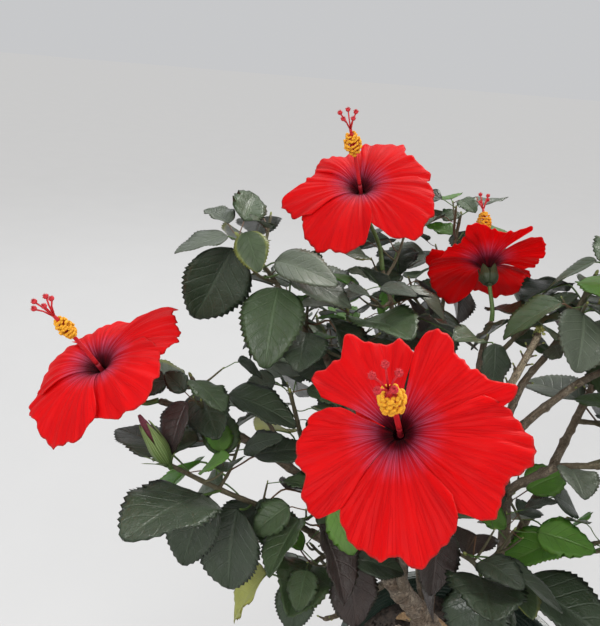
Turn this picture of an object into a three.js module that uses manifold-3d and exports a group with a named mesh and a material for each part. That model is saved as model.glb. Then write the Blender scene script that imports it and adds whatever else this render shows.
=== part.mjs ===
// A red hibiscus shrub in a round pot, in millimetres.
// The origin is the centre of the pot's flat underside. +Z is up and -Y is the side it is seen from.
import * as THREE from 'three';
import { mergeVertices } from 'three/addons/utils/BufferGeometryUtils.js';
import Module from 'manifold-3d';

const wasm = await Module();
wasm.setup();

// Clearance between solids that touch on the real plant
const CLEAR = 0.3;

// Pot: a tapered tub with a rolled lip, filled with soil to below the lip
const POT = { rim: 140, foot: 98, height: 240, wall: 4, floor: 5, lip: 7, lipHeight: 16, sides: 32 };
const SOIL_TOP = 205;

// Leaf: a blade that is widest near its base and thickest on its midrib; sizes are fractions of its length
const LEAF = { thick: 0.02, fold: 0.1, arch: 0.16, width: 0.35, widest: 0.4 };

// Its stalk leaves the twig at this angle, and thickens from the twig to the blade
const STALK = { rise: 28, root: 0.65, tip: 1.3, shortest: 6, share: 0.3 };
const GOLDEN_ANGLE = 137.5;

// Radii of a mass's stem and of its side shoots, and the places for leaves along each
const TWIG = { stem: { root: 3, tip: 2.2, leaves: 6 }, side: { root: 1.7, tip: 1.4, leaves: 5 } };

// Bloom: five petals round a throat, a calyx behind it and a staminal column in front. split and anthers
// are the places of the column's fork and of its pollen ball; spread is that of its five stigma pads.
const BLOOM = { throat: 20, funnel: 9, petal: 75, thick: 1.8, lap: 7, calyx: 13, stalk: 2.1, column: 2.2,
  split: 0.86, anthers: 0.72, pollen: 8, spread: 7, style: 0.8, pad: 1.8 };

// Radii of its calyx at the foot and how much that swells
const CALYX = { foot: 3.2, swell: 6.5, inside: 12 };

// Radii of a closed bud: its calyx at the foot and how much that swells, and its petals
const BUD = { foot: 3, calyx: 5.5, petals: 6.5 };

// Free space that leaves keep to limbs, twigs, petals, each other and the pot's rim, and how far from
// its mass's stem a leaf may stand
const ROOM = { limb: 5, twig: 5, leaf: 9.5, petal: 11, rimTop: 254, reach: 95 };

// Distance between the points that stand for a limb, a shoot and a bloom's stalk in that free space,
// and the size to which cut solids are tidied
const SPACING = { limb: 7, shoot: 6, stalk: 8, tidy: 0.02 };

// Woody limbs: the points each follows, and its radius at the root and at the tip.
// A limb grows out of one that stands above it in this list.
const LIMBS = {
  trunk: { path: [[8, 6, SOIL_TOP - 6], [-20, 2, 262], [-60, -4, 322], [-106, -12, 386]],
    root: 13, tip: 9.5 },
  stem_right: { path: [[-30, 1, 276], [-10, -16, 335], [2, -22, 410], [-8, -14, 490], [-22, 4, 558]],
    root: 7.5, tip: 4.6 },
  bough_left_low: { path: [[-104, -11, 383], [-146, -26, 418], [-186, -38, 452]], root: 6.5, tip: 4.4 },
  bough_left_mid: { path: [[-102, -8, 380], [-150, 6, 440], [-215, -6, 501], [-281, -26, 556],
    [-322, -40, 580]], root: 5, tip: 2.6 },
  bough_upper_left: { path: [[-100, -8, 379], [-122, 28, 450], [-152, 40, 530], [-183, 35, 594]],
    root: 5.4, tip: 3.6 },
  bough_top: { path: [[-92, -9, 368], [-94, 40, 440], [-102, 72, 530], [-112, 82, 590]],
    root: 5.4, tip: 3.6 },
  bough_front: { path: [[-84, -8, 357], [-98, -48, 430], [-112, -92, 520], [-120, -116, 576]],
    root: 5, tip: 3 },
  bough_back_left: { path: [[-74, -6, 344], [-108, 58, 406], [-140, 104, 462], [-160, 132, 505]],
    root: 5, tip: 3.4 },
  bough_back: { path: [[-52, -3, 311], [-62, 78, 390], [-60, 132, 470], [-50, 165, 552]],
    root: 5.6, tip: 3.4 },
  bough_back_right: { path: [[0, -21, 392], [44, 30, 455], [88, 82, 520], [116, 112, 572]],
    root: 5, tip: 3.4 },
  bough_right_low: { path: [[-4, -18, 460], [-14, -34, 512], [14, -47, 552]], root: 4.4, tip: 3.4 },
  bough_right_mid: { path: [[-13, -8, 515], [-6, -4, 556], [30, 10, 589], [64, 19, 611], [122, 28, 640]],
    root: 4, tip: 2.8 },
  bough_right_top: { path: [[-16, -4, 532], [-34, 38, 575], [-26, 78, 602], [-19, 90, 622]],
    root: 4, tip: 2.8 },
  bough_right_high: { path: [[-19, 0, 546], [2, 34, 580], [26, 52, 606]], root: 3.8, tip: 3 },
  bough_stub: { path: [[-21, 3, 556], [-22, 14, 574], [-10, 23, 595], [6, 31, 639]], root: 3.7, tip: 3.1 },
  twig_bare: { path: [[-213, -6, 499], [-232, 2, 539], [-268, -9, 570]], root: 2.2, tip: 1.4 },
  twig_rim: { path: [[-98, -11, 375], [-136, -16, 333], [-163, -33, 336]], root: 3, tip: 2.2 },
};

// Root flare of the trunk: how much wider it is at the soil, and how fast that fades
const FLARE = { extra: 8, fade: 14 };

// Masses of foliage. stem: the points that the mass's stem follows from its limb; shoots: side shoots
// and their reach; leaf: length of its larger leaves; held: leaves that stand out, each as its place
// along the stem, compass heading, pitch and roll in degrees, and length; bud: where the bud at the
// stem's tip points, as far as the bud is long.
const MASSES = {
  foliage_upper_left: { stem: [[-183, 35, 594], [-214, 33, 632], [-237, 37, 667], [-269, 32, 705]],
    shoots: 3, reach: 62, leaf: 76, seed: 101, held: [[0.8, 197, -65, -89, 76], [1, 300, -38, 20, 38],
      [1, 199, -54, -33, 34], [1, 135, 20, 0, 34], [0.55, 242, 46, -84, 40], [0.36, 190, -68, 14, 59],
      [0.28, 214, -80, -89, 52], [0.2, 265, 0, 0, 55]] },
  foliage_left_mid: { stem: [[-284, -26, 558], [-292, -14, 572], [-302, -4, 584]],
    shoots: 2, reach: 50, leaf: 62, seed: 202, held: [[0.67, 242, 18, -81, 34], [0.55, 296, 14, 88, 29]] },
  foliage_left_low: { stem: [[-186, -38, 452], [-216, -48, 479], [-261, -66, 513], [-302, -91, 556]],
    shoots: 2, reach: 50, leaf: 70, seed: 303, bud: [-23, 5, 39],
    held: [[0.87, 150, 5, 0, 62], [0.69, 245, 25, 0, 88],
      [0.9, 340, 50, 0, 32], [0.5, 245, -70, 0, 76]] },
  foliage_centre_left: { stem: [[-190, -1, 480], [-200, 16, 515], [-214, 24, 560]],
    shoots: 2, reach: 55, leaf: 62, seed: 404, held: [[1, 167, -24, -39, 37], [0.54, 170, -30, 0, 36],
      [0.14, 240, 25, 0, 52]] },
  foliage_low_left: { stem: [[-140, -24, 413], [-170, -44, 430], [-200, -64, 415]],
    shoots: 2, reach: 55, leaf: 68, seed: 505, held: [[0.1, 140, -30, 0, 80], [0.57, 250, 20, 0, 66],
      [0.25, 250, 20, 0, 58], [1, 185, -55, 0, 62]] },
  foliage_front_low: { stem: [[2, -22, 396], [-18, -50, 428], [-42, -74, 462], [-62, -92, 492]],
    shoots: 3, reach: 60, leaf: 78, seed: 606, held: [[0.64, 170, -80, 0, 86], [0.65, 255, 30, 0, 77],
      [0.8, 75, -55, 0, 58], [1, 35, 0, 0, 71]] },
  foliage_right_front: { stem: [[0, -20, 436], [34, -36, 448], [68, -52, 480]],
    shoots: 3, reach: 60, leaf: 74, seed: 707, held: [] },
  foliage_centre: { stem: [[-150, 39, 526], [-158, 66, 575], [-164, 84, 622]],
    shoots: 3, reach: 60, leaf: 66, seed: 757, held: [[1, 120, 5, 0, 68], [1, 230, 20, 0, 53],
      [0.88, 295, 25, 0, 80], [0.6, 100, 5, 0, 45]] },
  foliage_top_centre: { stem: [[-112, 82, 590], [-120, 96, 628], [-132, 108, 660]],
    shoots: 3, reach: 64, leaf: 66, seed: 808, held: [[0.7, 230, 45, 0, 43], [0.55, 95, 15, 0, 46],
      [0.93, 285, 50, 0, 58], [0.54, 280, 15, 0, 52]] },
  foliage_top_back: { stem: [[-50, 165, 552], [-46, 188, 620], [-40, 204, 700]],
    shoots: 4, reach: 72, leaf: 70, seed: 913,
    held: [[1, 100, 5, 0, 70], [1, 35, 10, 0, 55], [1, 250, 15, 0, 41]] },
  foliage_right_near: { stem: [[-32, 56, 587], [-8, 66, 606], [14, 76, 636]],
    shoots: 2, reach: 56, leaf: 68, seed: 967, held: [[1, 160, -31, -89, 48], [0.05, 262, 26, 73, 65],
      [0.37, 328, -59, 89, 55], [0.59, 335, -20, 0, 42]] },
  foliage_right: { stem: [[26, 52, 606], [46, 64, 640], [62, 74, 684]],
    shoots: 4, reach: 72, leaf: 74, seed: 1010, held: [[0.05, 256, 0, 72, 32], [0.13, 251, 11, 41, 32],
      [0.46, 75, 0, 0, 53], [0.45, 45, 10, 0, 48]] },
  foliage_right_low: { stem: [[14, -47, 552], [40, -62, 566], [78, -74, 574], [120, -80, 590]],
    shoots: 4, reach: 70, leaf: 74, seed: 1111, held: [[0.06, 260, 15, 0, 41], [0.2, 280, -80, 0, 58],
      [0.34, 275, -70, 0, 84], [0.05, 100, -25, 0, 50]] },
  foliage_right_far: { stem: [[122, 28, 640], [156, 32, 660], [196, 36, 700]],
    shoots: 2, reach: 74, leaf: 74, seed: 1212, bud: [12, 4, 38], held: [] },
  foliage_back_left: { stem: [[-160, 132, 505], [-178, 166, 530], [-190, 200, 562]],
    shoots: 3, reach: 66, leaf: 74, seed: 1321, held: [] },
  foliage_back_low: { stem: [[-60, 130, 468], [-66, 170, 486], [-70, 214, 520]],
    shoots: 3, reach: 72, leaf: 74, seed: 1414, held: [] },
  foliage_back_right: { stem: [[116, 112, 572], [140, 134, 610], [158, 150, 660]],
    shoots: 3, reach: 76, leaf: 76, seed: 1515, held: [] },
  foliage_right_back_low: { stem: [[88, 82, 519], [128, 84, 520], [166, 76, 545]],
    shoots: 3, reach: 66, leaf: 74, seed: 1616, held: [] },
};

// Blooms. at: centre of the throat; facing: the way it opens; column: throat to stigma; stalk: points
// from the limb's tip towards the calyx; rise and curl: how the petals climb and bend back; open: radius
// round it that leaves leave clear on the side of the viewer; petals: first and last angle round the
// throat in degrees, edge radii from one side to the other, and how far a petal droops more than the rest.
const BLOOMS = {
  bloom_front: { at: [-149, -163, 651], facing: [-0.364, -0.646, 0.67], column: [-18, -47, 59],
    stalk: [[-120, -116, 576], [-123, -127, 598]], rise: 6, curl: 4, open: 66, petals: [
      [77, 157, [50, 58, 56, 58, 69, 59, 60, 64, 50], 3], [10, 76, [58, 74, 64, 59, 58, 59, 65, 65, 52], 0],
      [-54, 20, [54, 69, 71, 67, 73, 79, 73, 66, 56], 4],
      [233, 312, [50, 65, 70, 73, 71, 77, 69, 65, 50], 0],
      [157, 238, [38, 50, 56, 62, 64, 60, 67, 70, 54], 0]] },
  bloom_left: { at: [-368, -52, 620], facing: [-0.3, -0.32, 0.9], column: [-24, -28, 57],
    stalk: [[-322, -40, 580], [-336, -42, 578]], rise: 4, curl: 18, open: 62, petals: [
      [2, 60, [50, 58, 63, 66, 68, 70, 74, 80, 50], 0], [54, 134, [50, 60, 66, 62, 54, 52, 54, 54, 48], 24],
      [124, 214, [48, 54, 56, 56, 56, 56, 54, 52, 44], 24],
      [205, 284, [48, 60, 61, 62, 67, 73, 73, 70, 52], 0],
      [272, 380, [38, 52, 60, 66, 65, 60, 55, 49, 40], 0]] },
  bloom_top: { at: [-165, 96, 747], facing: [-0.2, -0.5, 0.84], column: [-19, -30, 61],
    stalk: [[-132, 108, 660], [-138, 117, 684]], rise: 4, curl: 12, open: 66, petals: [
      [138, 216, [50, 52, 51, 52, 58, 76, 73, 70, 58], 0], [74, 146, [54, 62, 60, 59, 58, 58, 60, 58, 50], 16],
      [2, 84, [54, 66, 62, 59, 58, 71, 64, 56, 48], 0], [276, 360, [44, 53, 68, 79, 77, 75, 69, 64, 50], 0],
      [205, 280, [56, 62, 70, 77, 81, 81, 79, 68, 44], 0]] },
  bloom_right: { at: [-23, 133, 674], facing: [0.013, 0.797, 0.604], column: [-1, 54, 50],
    stalk: [[-19, 90, 622], [-20, 93, 634]], rise: 6, curl: 8, open: 62, petals: [
      [92, 172, [52, 84, 84, 78, 70, 65, 61, 62, 56], 0], [164, 240, [60, 56, 46, 42, 40, 40, 42, 46, 46], 0],
      [232, 306, [48, 64, 54, 46, 44, 46, 51, 58, 46], 0],
      [304, 382, [50, 58, 57, 57, 56, 53, 55, 58, 50], 0],
      [18, 94, [50, 59, 70, 75, 74, 73, 68, 64, 46], 0]] },
  bloom_back: { at: [176, 168, 742], facing: [0.45, 0.4, 0.8], column: [32, 28, 62],
    stalk: [[158, 150, 660], [160, 156, 684]], rise: 8, curl: 12, open: 0, petals: [
      [0, 80, [60, 72, 76, 70, 58], 0], [72, 152, [58, 70, 78, 72, 58], 0],
      [144, 224, [60, 74, 76, 70, 60], 0], [216, 296, [58, 72, 74, 72, 60], 0],
      [288, 368, [58, 70, 76, 72, 60], 0]] },
  bloom_back_low: { at: [-75, 236, 420], facing: [-0.15, 0.95, 0.27], column: [-12, 62, 26],
    stalk: [[-61, 127, 464], [-64, 150, 440]], rise: 8, curl: 12, open: 0, petals: [
      [10, 90, [58, 70, 74, 70, 58], 0], [82, 162, [58, 72, 78, 70, 58], 0],
      [154, 234, [58, 72, 74, 70, 58], 0], [226, 306, [58, 70, 76, 72, 58], 0],
      [298, 378, [58, 72, 74, 70, 58], 0]] },
};

// Where the plant is seen from, and the places where it is seen through: a point in each and the room that
// stays clear round the line of sight. clearTo says how far that goes on, as a share of the way to the
// bloom or to the opening.
const VIEWER = [-211, -466, 850];
const OPENINGS = [
  { at: [-293, 24, 597], open: 27 }, { at: [-230, 67, 699], open: 13 }, { at: [-244, -21, 490], open: 14 },
  { at: [51, 6, 556], open: 21 }, { at: [-64, 197, 748], open: 20 }, { at: [83, 184, 717], open: 36 },
  { at: [101, -6, 398], open: 19 },
];
const CLEAR_TO = { bloom: 0.97, opening: 3 };

const COLOURS = {
  pot: [0x20302a, 0.45], soil: [0x2c211b, 0.95], bark: [0x6d5a48, 0.85],
  leaf: [0x2f4a2c, 0.5], petal: [0xd0141c, 0.6],
};

const vector = (values) => new THREE.Vector3(...values);
const radians = THREE.MathUtils.degToRad;
const curveThrough = (path) => new THREE.CatmullRomCurve3(path.map(vector), false, 'catmullrom', 0.5);

// The same whole-number rule gives the same draws, from 0 to 1, for the same seed
function seededDraws(seed) {
  let state = seed;
  return () => {
    state = (state * 16807) % 2147483647;
    return state / 2147483647;
  };
}

function headingVector(heading, pitch) {
  const level = Math.cos(radians(pitch));
  return new THREE.Vector3(level * Math.cos(radians(heading)), level * Math.sin(radians(heading)),
    Math.sin(radians(pitch)));
}

// A closed three.js geometry as a solid, with its faces pointing out
function solidOf(geometry) {
  const bare = geometry.clone();
  bare.deleteAttribute('normal');
  bare.deleteAttribute('uv');
  const merged = mergeVertices(bare, 1e-4);
  const place = merged.attributes.position;
  const corners = [];
  let volume = 0;
  const [a, b, c] = [new THREE.Vector3(), new THREE.Vector3(), new THREE.Vector3()];
  for (let i = 0; i < merged.index.count; i += 3) {
    const [p, q, r] = [merged.index.getX(i), merged.index.getX(i + 1), merged.index.getX(i + 2)];
    if (p === q || q === r || r === p) continue;
    corners.push(p, q, r);
    volume += a.fromBufferAttribute(place, p).dot(b.fromBufferAttribute(place, q)
      .cross(c.fromBufferAttribute(place, r)));
  }
  if (volume < 0) corners.reverse();
  const mesh = new wasm.Mesh({
    numProp: 3,
    vertProperties: new Float32Array(place.array),
    triVerts: new Uint32Array(corners),
  });
  return new wasm.Manifold(mesh);
}

// A tapering round limb: a cylinder bent along a curve. radiusAt gives the radius from 0 to 1 along it.
function tubeAlong(path, radiusAt, sides, steps, grow = 0) {
  const curve = curveThrough(path);
  const centres = [];
  for (let k = 0; k <= steps; k += 1) centres.push(curve.getPoint(k / steps));
  const tangents = centres.map((p, k) => centres[Math.min(k + 1, steps)].clone()
    .sub(centres[Math.max(k - 1, 0)]).normalize());
  centres[0].addScaledVector(tangents[0], -grow);
  centres[steps].addScaledVector(tangents[steps], grow);
  const across = [perpendicular(tangents[0])];
  for (let k = 1; k <= steps; k += 1) {
    const carried = across[k - 1].clone();
    carried.addScaledVector(tangents[k], -carried.dot(tangents[k]));
    across.push(carried.normalize());
  }
  const tube = new THREE.CylinderGeometry(1, 1, 1, sides, steps);
  const place = tube.attributes.position;
  for (let i = 0; i < place.count; i += 1) {
    const k = Math.round((place.getY(i) + 0.5) * steps);
    const radius = radiusAt(k / steps) + grow;
    const side = tangents[k].clone().cross(across[k]);
    const moved = centres[k].clone().addScaledVector(across[k], place.getX(i) * radius)
      .addScaledVector(side, place.getZ(i) * radius);
    place.setXYZ(i, moved.x, moved.y, moved.z);
  }
  return solidOf(tube);
}

function perpendicular(direction) {
  const helper = Math.abs(direction.z) < 0.9 ? new THREE.Vector3(0, 0, 1) : new THREE.Vector3(1, 0, 0);
  return helper.cross(direction).normalize();
}

function limbRadius(name, limb) {
  const rise = limb.path.at(-1)[2] - limb.path[0][2];
  const flare = name === 'trunk' ? FLARE.extra : 0;
  return (t) => limb.root + (limb.tip - limb.root) * t + flare * Math.exp(-t * rise / FLARE.fade);
}

function limbSolid(name, limb, grow = 0) {
  const sides = name === 'trunk' ? 9 : 6;
  const steps = name === 'trunk' ? 8 : Math.round((limb.path.length - 1) * 1.5);
  return tubeAlong(limb.path, limbRadius(name, limb), sides, steps, grow);
}

// The largest piece of a solid, without the scraps that a cut leaves
function mainPiece(solid) {
  const pieces = solid.decompose();
  pieces.sort((one, other) => other.volume() - one.volume());
  return pieces[0];
}

function union(solids) {
  return wasm.Manifold.union(solids);
}

// Everything below a height near the trunk, to cut it off flat there
function slabBelow(height) {
  const size = 120;
  const slab = new THREE.BoxGeometry(size, size, size);
  slab.translate(0, 0, height - size / 2);
  return solidOf(slab);
}

// Space that is taken: points, each with the distance that others keep to it
const taken = [];

function take(point, room, owner = null) {
  taken.push({ x: point.x, y: point.y, z: point.z, room: room * room, owner });
}

function isFree(points, owner = null) {
  for (const p of points) {
    const ring = Math.hypot(p.x, p.y);
    if (ring < POT.rim + ROOM.leaf && p.z < ROOM.rimTop) return false;
    for (const q of taken) {
      if (q.owner && q.owner === owner) continue;
      const [x, y, z] = [p.x - q.x, p.y - q.y, p.z - q.z];
      if (x * x + y * y + z * z < q.room) return false;
    }
  }
  return true;
}

// Whether any of the points would hide a bloom from the viewer or fill an opening
function blocksView(points) {
  const blocks = (place, clearTo) => {
    const sight = vector(place.at).sub(vector(VIEWER));
    return points.some((p) => {
      const way = p.clone().sub(vector(VIEWER));
      const share = way.dot(sight) / sight.lengthSq();
      return share < clearTo && way.distanceTo(sight.clone().multiplyScalar(share)) < place.open * share;
    });
  };
  return Object.values(BLOOMS).some((bloom) => blocks(bloom, CLEAR_TO.bloom))
    || OPENINGS.some((opening) => blocks(opening, CLEAR_TO.opening));
}

// Points every few millimetres along a curve, from one fraction of it on
function pointsAlong(path, spacing, from = 0) {
  const curve = curveThrough(path);
  let length = 0;
  for (let i = 1; i < path.length; i += 1) length += vector(path[i]).distanceTo(vector(path[i - 1]));
  const count = Math.max(2, Math.round(length * (1 - from) / spacing));
  const found = [];
  for (let i = 0; i <= count; i += 1) found.push(curve.getPoint(from + (1 - from) * i / count));
  return found;
}

// A leaf's frame: its base, the way it points, its side and its upper face
function leafFrame(foot, heading, pitch, roll, length) {
  const along = headingVector(heading, pitch);
  const level = new THREE.Vector3(-Math.sin(radians(heading)), Math.cos(radians(heading)), 0);
  const upright = along.clone().cross(level);
  const side = level.clone().multiplyScalar(Math.cos(radians(roll)));
  side.addScaledVector(upright, Math.sin(radians(roll)));
  const upper = along.clone().cross(side);
  const stalk = STALK.shortest + STALK.share * length;
  const base = foot.clone().addScaledVector(headingVector(heading, STALK.rise), stalk);
  return { foot, base, along, side, upper, length };
}

// A point of the blade: a is the fraction along it, w the fraction of its length to the side
function bladePoint(leaf, a, w) {
  const lift = LEAF.fold * Math.abs(w) * 2 - LEAF.arch * a * a;
  return leaf.base.clone().addScaledVector(leaf.along, a * leaf.length)
    .addScaledVector(leaf.side, w * leaf.length).addScaledVector(leaf.upper, lift * leaf.length);
}

function halfWidth(a) {
  return LEAF.width * Math.sin(Math.PI * Math.pow(a, 0.72)) * (1 - 0.25 * a);
}

function bladeSamples(leaf) {
  const found = [];
  for (const a of [0.08, 0.25, 0.42, 0.6, 0.78, 1]) {
    for (const w of [-1, -0.5, 0, 0.5, 1]) found.push(bladePoint(leaf, a, w * halfWidth(a)));
  }
  return found;
}

function stalkSamples(leaf) {
  return [0.25, 0.5, 0.75].map((t) => leaf.foot.clone().lerp(leaf.base, t));
}

// Every mass's shoots: its stem, and side shoots set round it by the golden angle
function growShoots(mass, name) {
  const draw = seededDraws(mass.seed);
  const shoots = [{ path: mass.stem, ...TWIG.stem }];
  const stem = curveThrough(mass.stem);
  for (let k = 0; k < mass.shoots; k += 1) {
    const along = 0.22 + 0.68 * (k + draw()) / mass.shoots;
    const heading = mass.seed + k * GOLDEN_ANGLE + 50 * (draw() - 0.5);
    const pitch = 18 + 34 * draw();
    const length = mass.reach * (0.62 + 0.38 * draw());
    for (const turn of [0, 70, -70, 140]) {
      const foot = stem.getPoint(along);
      const middle = foot.clone().addScaledVector(headingVector(heading + turn, pitch - 14), length / 2);
      const tip = middle.clone().addScaledVector(headingVector(heading + turn, pitch + 14), length / 2);
      const path = [foot, middle, tip].map((p) => p.toArray());
      const points = pointsAlong(path, SPACING.shoot, 0.3);
      if (!isFree(points, name) || blocksView(points)) continue;
      shoots.push({ path, ...TWIG.side });
      break;
    }
  }
  for (const shoot of shoots) {
    for (const p of pointsAlong(shoot.path, SPACING.shoot)) take(p, ROOM.twig, name);
  }
  if (mass.bud) {
    const tip = vector(mass.stem.at(-1));
    for (const t of [0.3, 0.6, 0.9]) take(tip.clone().addScaledVector(vector(mass.bud), t), ROOM.petal);
  }
  mass.grown = { name, shoots, leaves: [], draw };
}

function placeLeaf(mass, foot, heading, pitch, roll, length) {
  const leaf = leafFrame(foot, heading, pitch, roll, length);
  const blade = bladeSamples(leaf);
  const reach = ROOM.reach + mass.reach / 2;
  const near = blade.every((p) => mass.stem.some((q) => p.distanceTo(vector(q)) < reach));
  const { name } = mass.grown;
  if (!near || blocksView(blade) || !isFree(blade) || !isFree(stalkSamples(leaf), name)) return false;
  for (const p of blade) take(p, ROOM.leaf);
  for (const p of stalkSamples(leaf)) take(p, ROOM.twig, name);
  mass.grown.leaves.push(leaf);
  return true;
}

// Leaves that stand out come first, then the rest by the golden angle round each shoot
function growHeldLeaves(mass) {
  const stem = curveThrough(mass.stem);
  for (const [along, heading, pitch, roll, length] of mass.held) {
    placeLeaf(mass, stem.getPoint(along), heading, pitch, roll, length);
  }
}

function growLeaves(mass) {
  const { shoots, draw } = mass.grown;
  shoots.forEach((shoot, number) => {
    const curve = curveThrough(shoot.path);
    for (let j = 0; j < shoot.leaves; j += 1) {
      const along = 0.25 + 0.75 * (j + 0.5) / shoot.leaves;
      const heading = mass.seed * 3 + number * 60 + j * GOLDEN_ANGLE + 40 * (draw() - 0.5);
      const pitch = -62 + 66 * draw();
      const roll = 60 * (draw() - 0.5);
      const length = mass.leaf * (1.08 - 0.42 * along) * (0.86 + 0.24 * draw());
      const foot = curve.getPoint(along);
      [0, 60, -60, 120, -120].some((turn) => placeLeaf(mass, foot, heading + turn, pitch, roll, length));
    }
  });
}

// A leaf with its stalk: a three-sided body that follows the stalk, widens into the blade and ends in
// a point. Its section is the blade's two edges and, just under them, the midrib.
function leafSolid(leaf) {
  const stalkSection = (centre, radius) => [-1, 0, 1].map((w) => centre.clone()
    .addScaledVector(leaf.side, w * radius)
    .addScaledVector(leaf.upper, w === 0 ? -radius : radius / 2));
  const midrib = bladePoint(leaf, LEAF.widest, 0).addScaledVector(leaf.upper, -LEAF.thick * leaf.length);
  const tip = bladePoint(leaf, 1, 0);
  const sections = [stalkSection(leaf.foot, STALK.root), stalkSection(leaf.base, STALK.tip),
    [bladePoint(leaf, LEAF.widest, -LEAF.width), midrib, bladePoint(leaf, LEAF.widest, LEAF.width)],
    [tip, tip, tip]];
  const body = new THREE.CylinderGeometry(1, 1, 1, 3, sections.length - 1);
  const place = body.attributes.position;
  const third = Math.PI * 2 / 3;
  for (let i = 0; i < place.count; i += 1) {
    const [x, z] = [place.getX(i), place.getZ(i)];
    const corners = sections[Math.round((place.getY(i) + 0.5) * (sections.length - 1))];
    const middle = corners[0].clone().add(corners[1]).add(corners[2]).divideScalar(3);
    const corner = Math.round(Math.atan2(z, x) / third + 3.25) % 3;
    const point = Math.hypot(x, z) < 0.5 ? middle : corners[corner];
    place.setXYZ(i, point.x, point.y, point.z);
  }
  return solidOf(body);
}

// A closed bud: rolled petals that stand out of a short calyx, at the tip of a mass's stem
function budSolids(mass) {
  const foot = vector(mass.stem.at(-1));
  const way = vector(mass.bud);
  const alongBud = (t) => foot.clone().addScaledVector(way, t).toArray();
  const calyxRadius = (t) => BUD.foot + BUD.calyx * Math.sin(Math.PI * 0.8 * t);
  const petalRadius = (t) => BUD.petals * (1 - 0.75 * t * t);
  return [tubeAlong([alongBud(-0.05), alongBud(0.45)], calyxRadius, 6, 2),
    tubeAlong([alongBud(0.2), alongBud(1)], petalRadius, 6, 2)];
}

function massSolid(mass) {
  const solids = mass.grown.shoots.map((shoot, number) => tubeAlong(shoot.path,
    (t) => shoot.root + (shoot.tip - shoot.root) * t, number === 0 ? 5 : 3, shoot.path.length - 1));
  for (const leaf of mass.grown.leaves) solids.push(leafSolid(leaf));
  if (mass.bud) solids.push(...budSolids(mass));
  return union(solids);
}

// A bloom's frame: the way it faces, and two directions across it
function bloomFrame(bloom) {
  const facing = vector(bloom.facing).normalize();
  const right = new THREE.Vector3(1, 0, 0);
  right.addScaledVector(facing, -right.dot(facing)).normalize();
  return { at: vector(bloom.at), facing, right, up: facing.clone().cross(right) };
}

function petalHeight(bloom, droop, radius) {
  const s = radius / BLOOM.petal;
  return bloom.rise * s - (bloom.curl + droop) * s ** 3 - BLOOM.throat * Math.exp(-radius / BLOOM.funnel);
}

// A point of a petal: f from one side edge to the other, s from the throat to the outer edge
function petalPoint(bloom, petal, f, s) {
  const { at, facing, right, up } = bloomFrame(bloom);
  const [first, last, edge, droop] = petal;
  const panels = edge.length - 1;
  const step = Math.min(Math.floor(f * panels), panels - 1);
  const reach = edge[step] + (edge[step + 1] - edge[step]) * (f * panels - step);
  const radius = 3 + (reach - 3) * s;
  const turn = radians(first + (last - first) * f);
  const height = petalHeight(bloom, droop, radius) + BLOOM.lap * (f - 0.5) * s;
  return at.clone().addScaledVector(right, Math.cos(turn) * radius)
    .addScaledVector(up, Math.sin(turn) * radius).addScaledVector(facing, height);
}

// A petal: a slab, two panels deep, bent over the petal's surface
function petalSolid(bloom, petal) {
  const slab = new THREE.BoxGeometry(1, 1, 1, petal[2].length - 1, 2, 1);
  const place = slab.attributes.position;
  const { facing } = bloomFrame(bloom);
  for (let i = 0; i < place.count; i += 1) {
    const point = petalPoint(bloom, petal, place.getX(i) + 0.5, place.getY(i) + 0.5);
    point.addScaledVector(facing, place.getZ(i) * BLOOM.thick);
    place.setXYZ(i, point.x, point.y, point.z);
  }
  return solidOf(slab);
}

function ball(centre, radius, along, stretch, sides, rings) {
  const shape = new THREE.SphereGeometry(radius, sides, rings);
  shape.scale(1, stretch, 1);
  shape.applyQuaternion(new THREE.Quaternion().setFromUnitVectors(new THREE.Vector3(0, 1, 0), along));
  shape.translate(centre.x, centre.y, centre.z);
  return solidOf(shape);
}

// The stalk runs from its limb's tip to just inside the calyx
function bloomStalk(bloom, grow = 0) {
  const { at, facing } = bloomFrame(bloom);
  const inside = at.clone().addScaledVector(facing, 3 - BLOOM.throat - BLOOM.calyx);
  return tubeAlong([...bloom.stalk, inside.toArray()], () => BLOOM.stalk, 4, 3, grow);
}

function bloomSolid(bloom) {
  const { at, facing, right, up } = bloomFrame(bloom);
  const throat = at.clone().addScaledVector(facing, -BLOOM.throat);
  const calyxFoot = throat.clone().addScaledVector(facing, -BLOOM.calyx);
  const solids = bloom.petals.map((petal) => petalSolid(bloom, petal));
  const calyxTip = at.clone().addScaledVector(facing, -CALYX.inside);
  const calyxRadius = (t) => CALYX.foot + CALYX.swell * Math.sin(Math.PI * Math.min(t * 1.2, 0.62));
  solids.push(tubeAlong([calyxFoot.toArray(), calyxTip.toArray()], calyxRadius, 5, 2));
  solids.push(bloomStalk(bloom));
  const stigma = at.clone().add(vector(bloom.column));
  const columnWay = stigma.clone().sub(throat).normalize();
  const split = throat.clone().lerp(stigma, BLOOM.split);
  const columnFoot = throat.clone().addScaledVector(facing, 2);
  solids.push(tubeAlong([columnFoot.toArray(), split.toArray()], () => BLOOM.column, 4, 1));
  solids.push(ball(throat.clone().lerp(stigma, BLOOM.anthers), BLOOM.pollen, columnWay, 1.2, 6, 3));
  for (let k = 0; k < 5; k += 1) {
    const turn = radians(k * 72 + 20);
    const pad = stigma.clone().addScaledVector(right, BLOOM.spread * Math.cos(turn));
    pad.addScaledVector(up, BLOOM.spread * Math.sin(turn));
    const styleFoot = split.clone().addScaledVector(columnWay, -2);
    solids.push(tubeAlong([styleFoot.toArray(), pad.toArray()], (t) => BLOOM.style + BLOOM.pad * t, 3, 1));
  }
  return union(solids);
}

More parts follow.
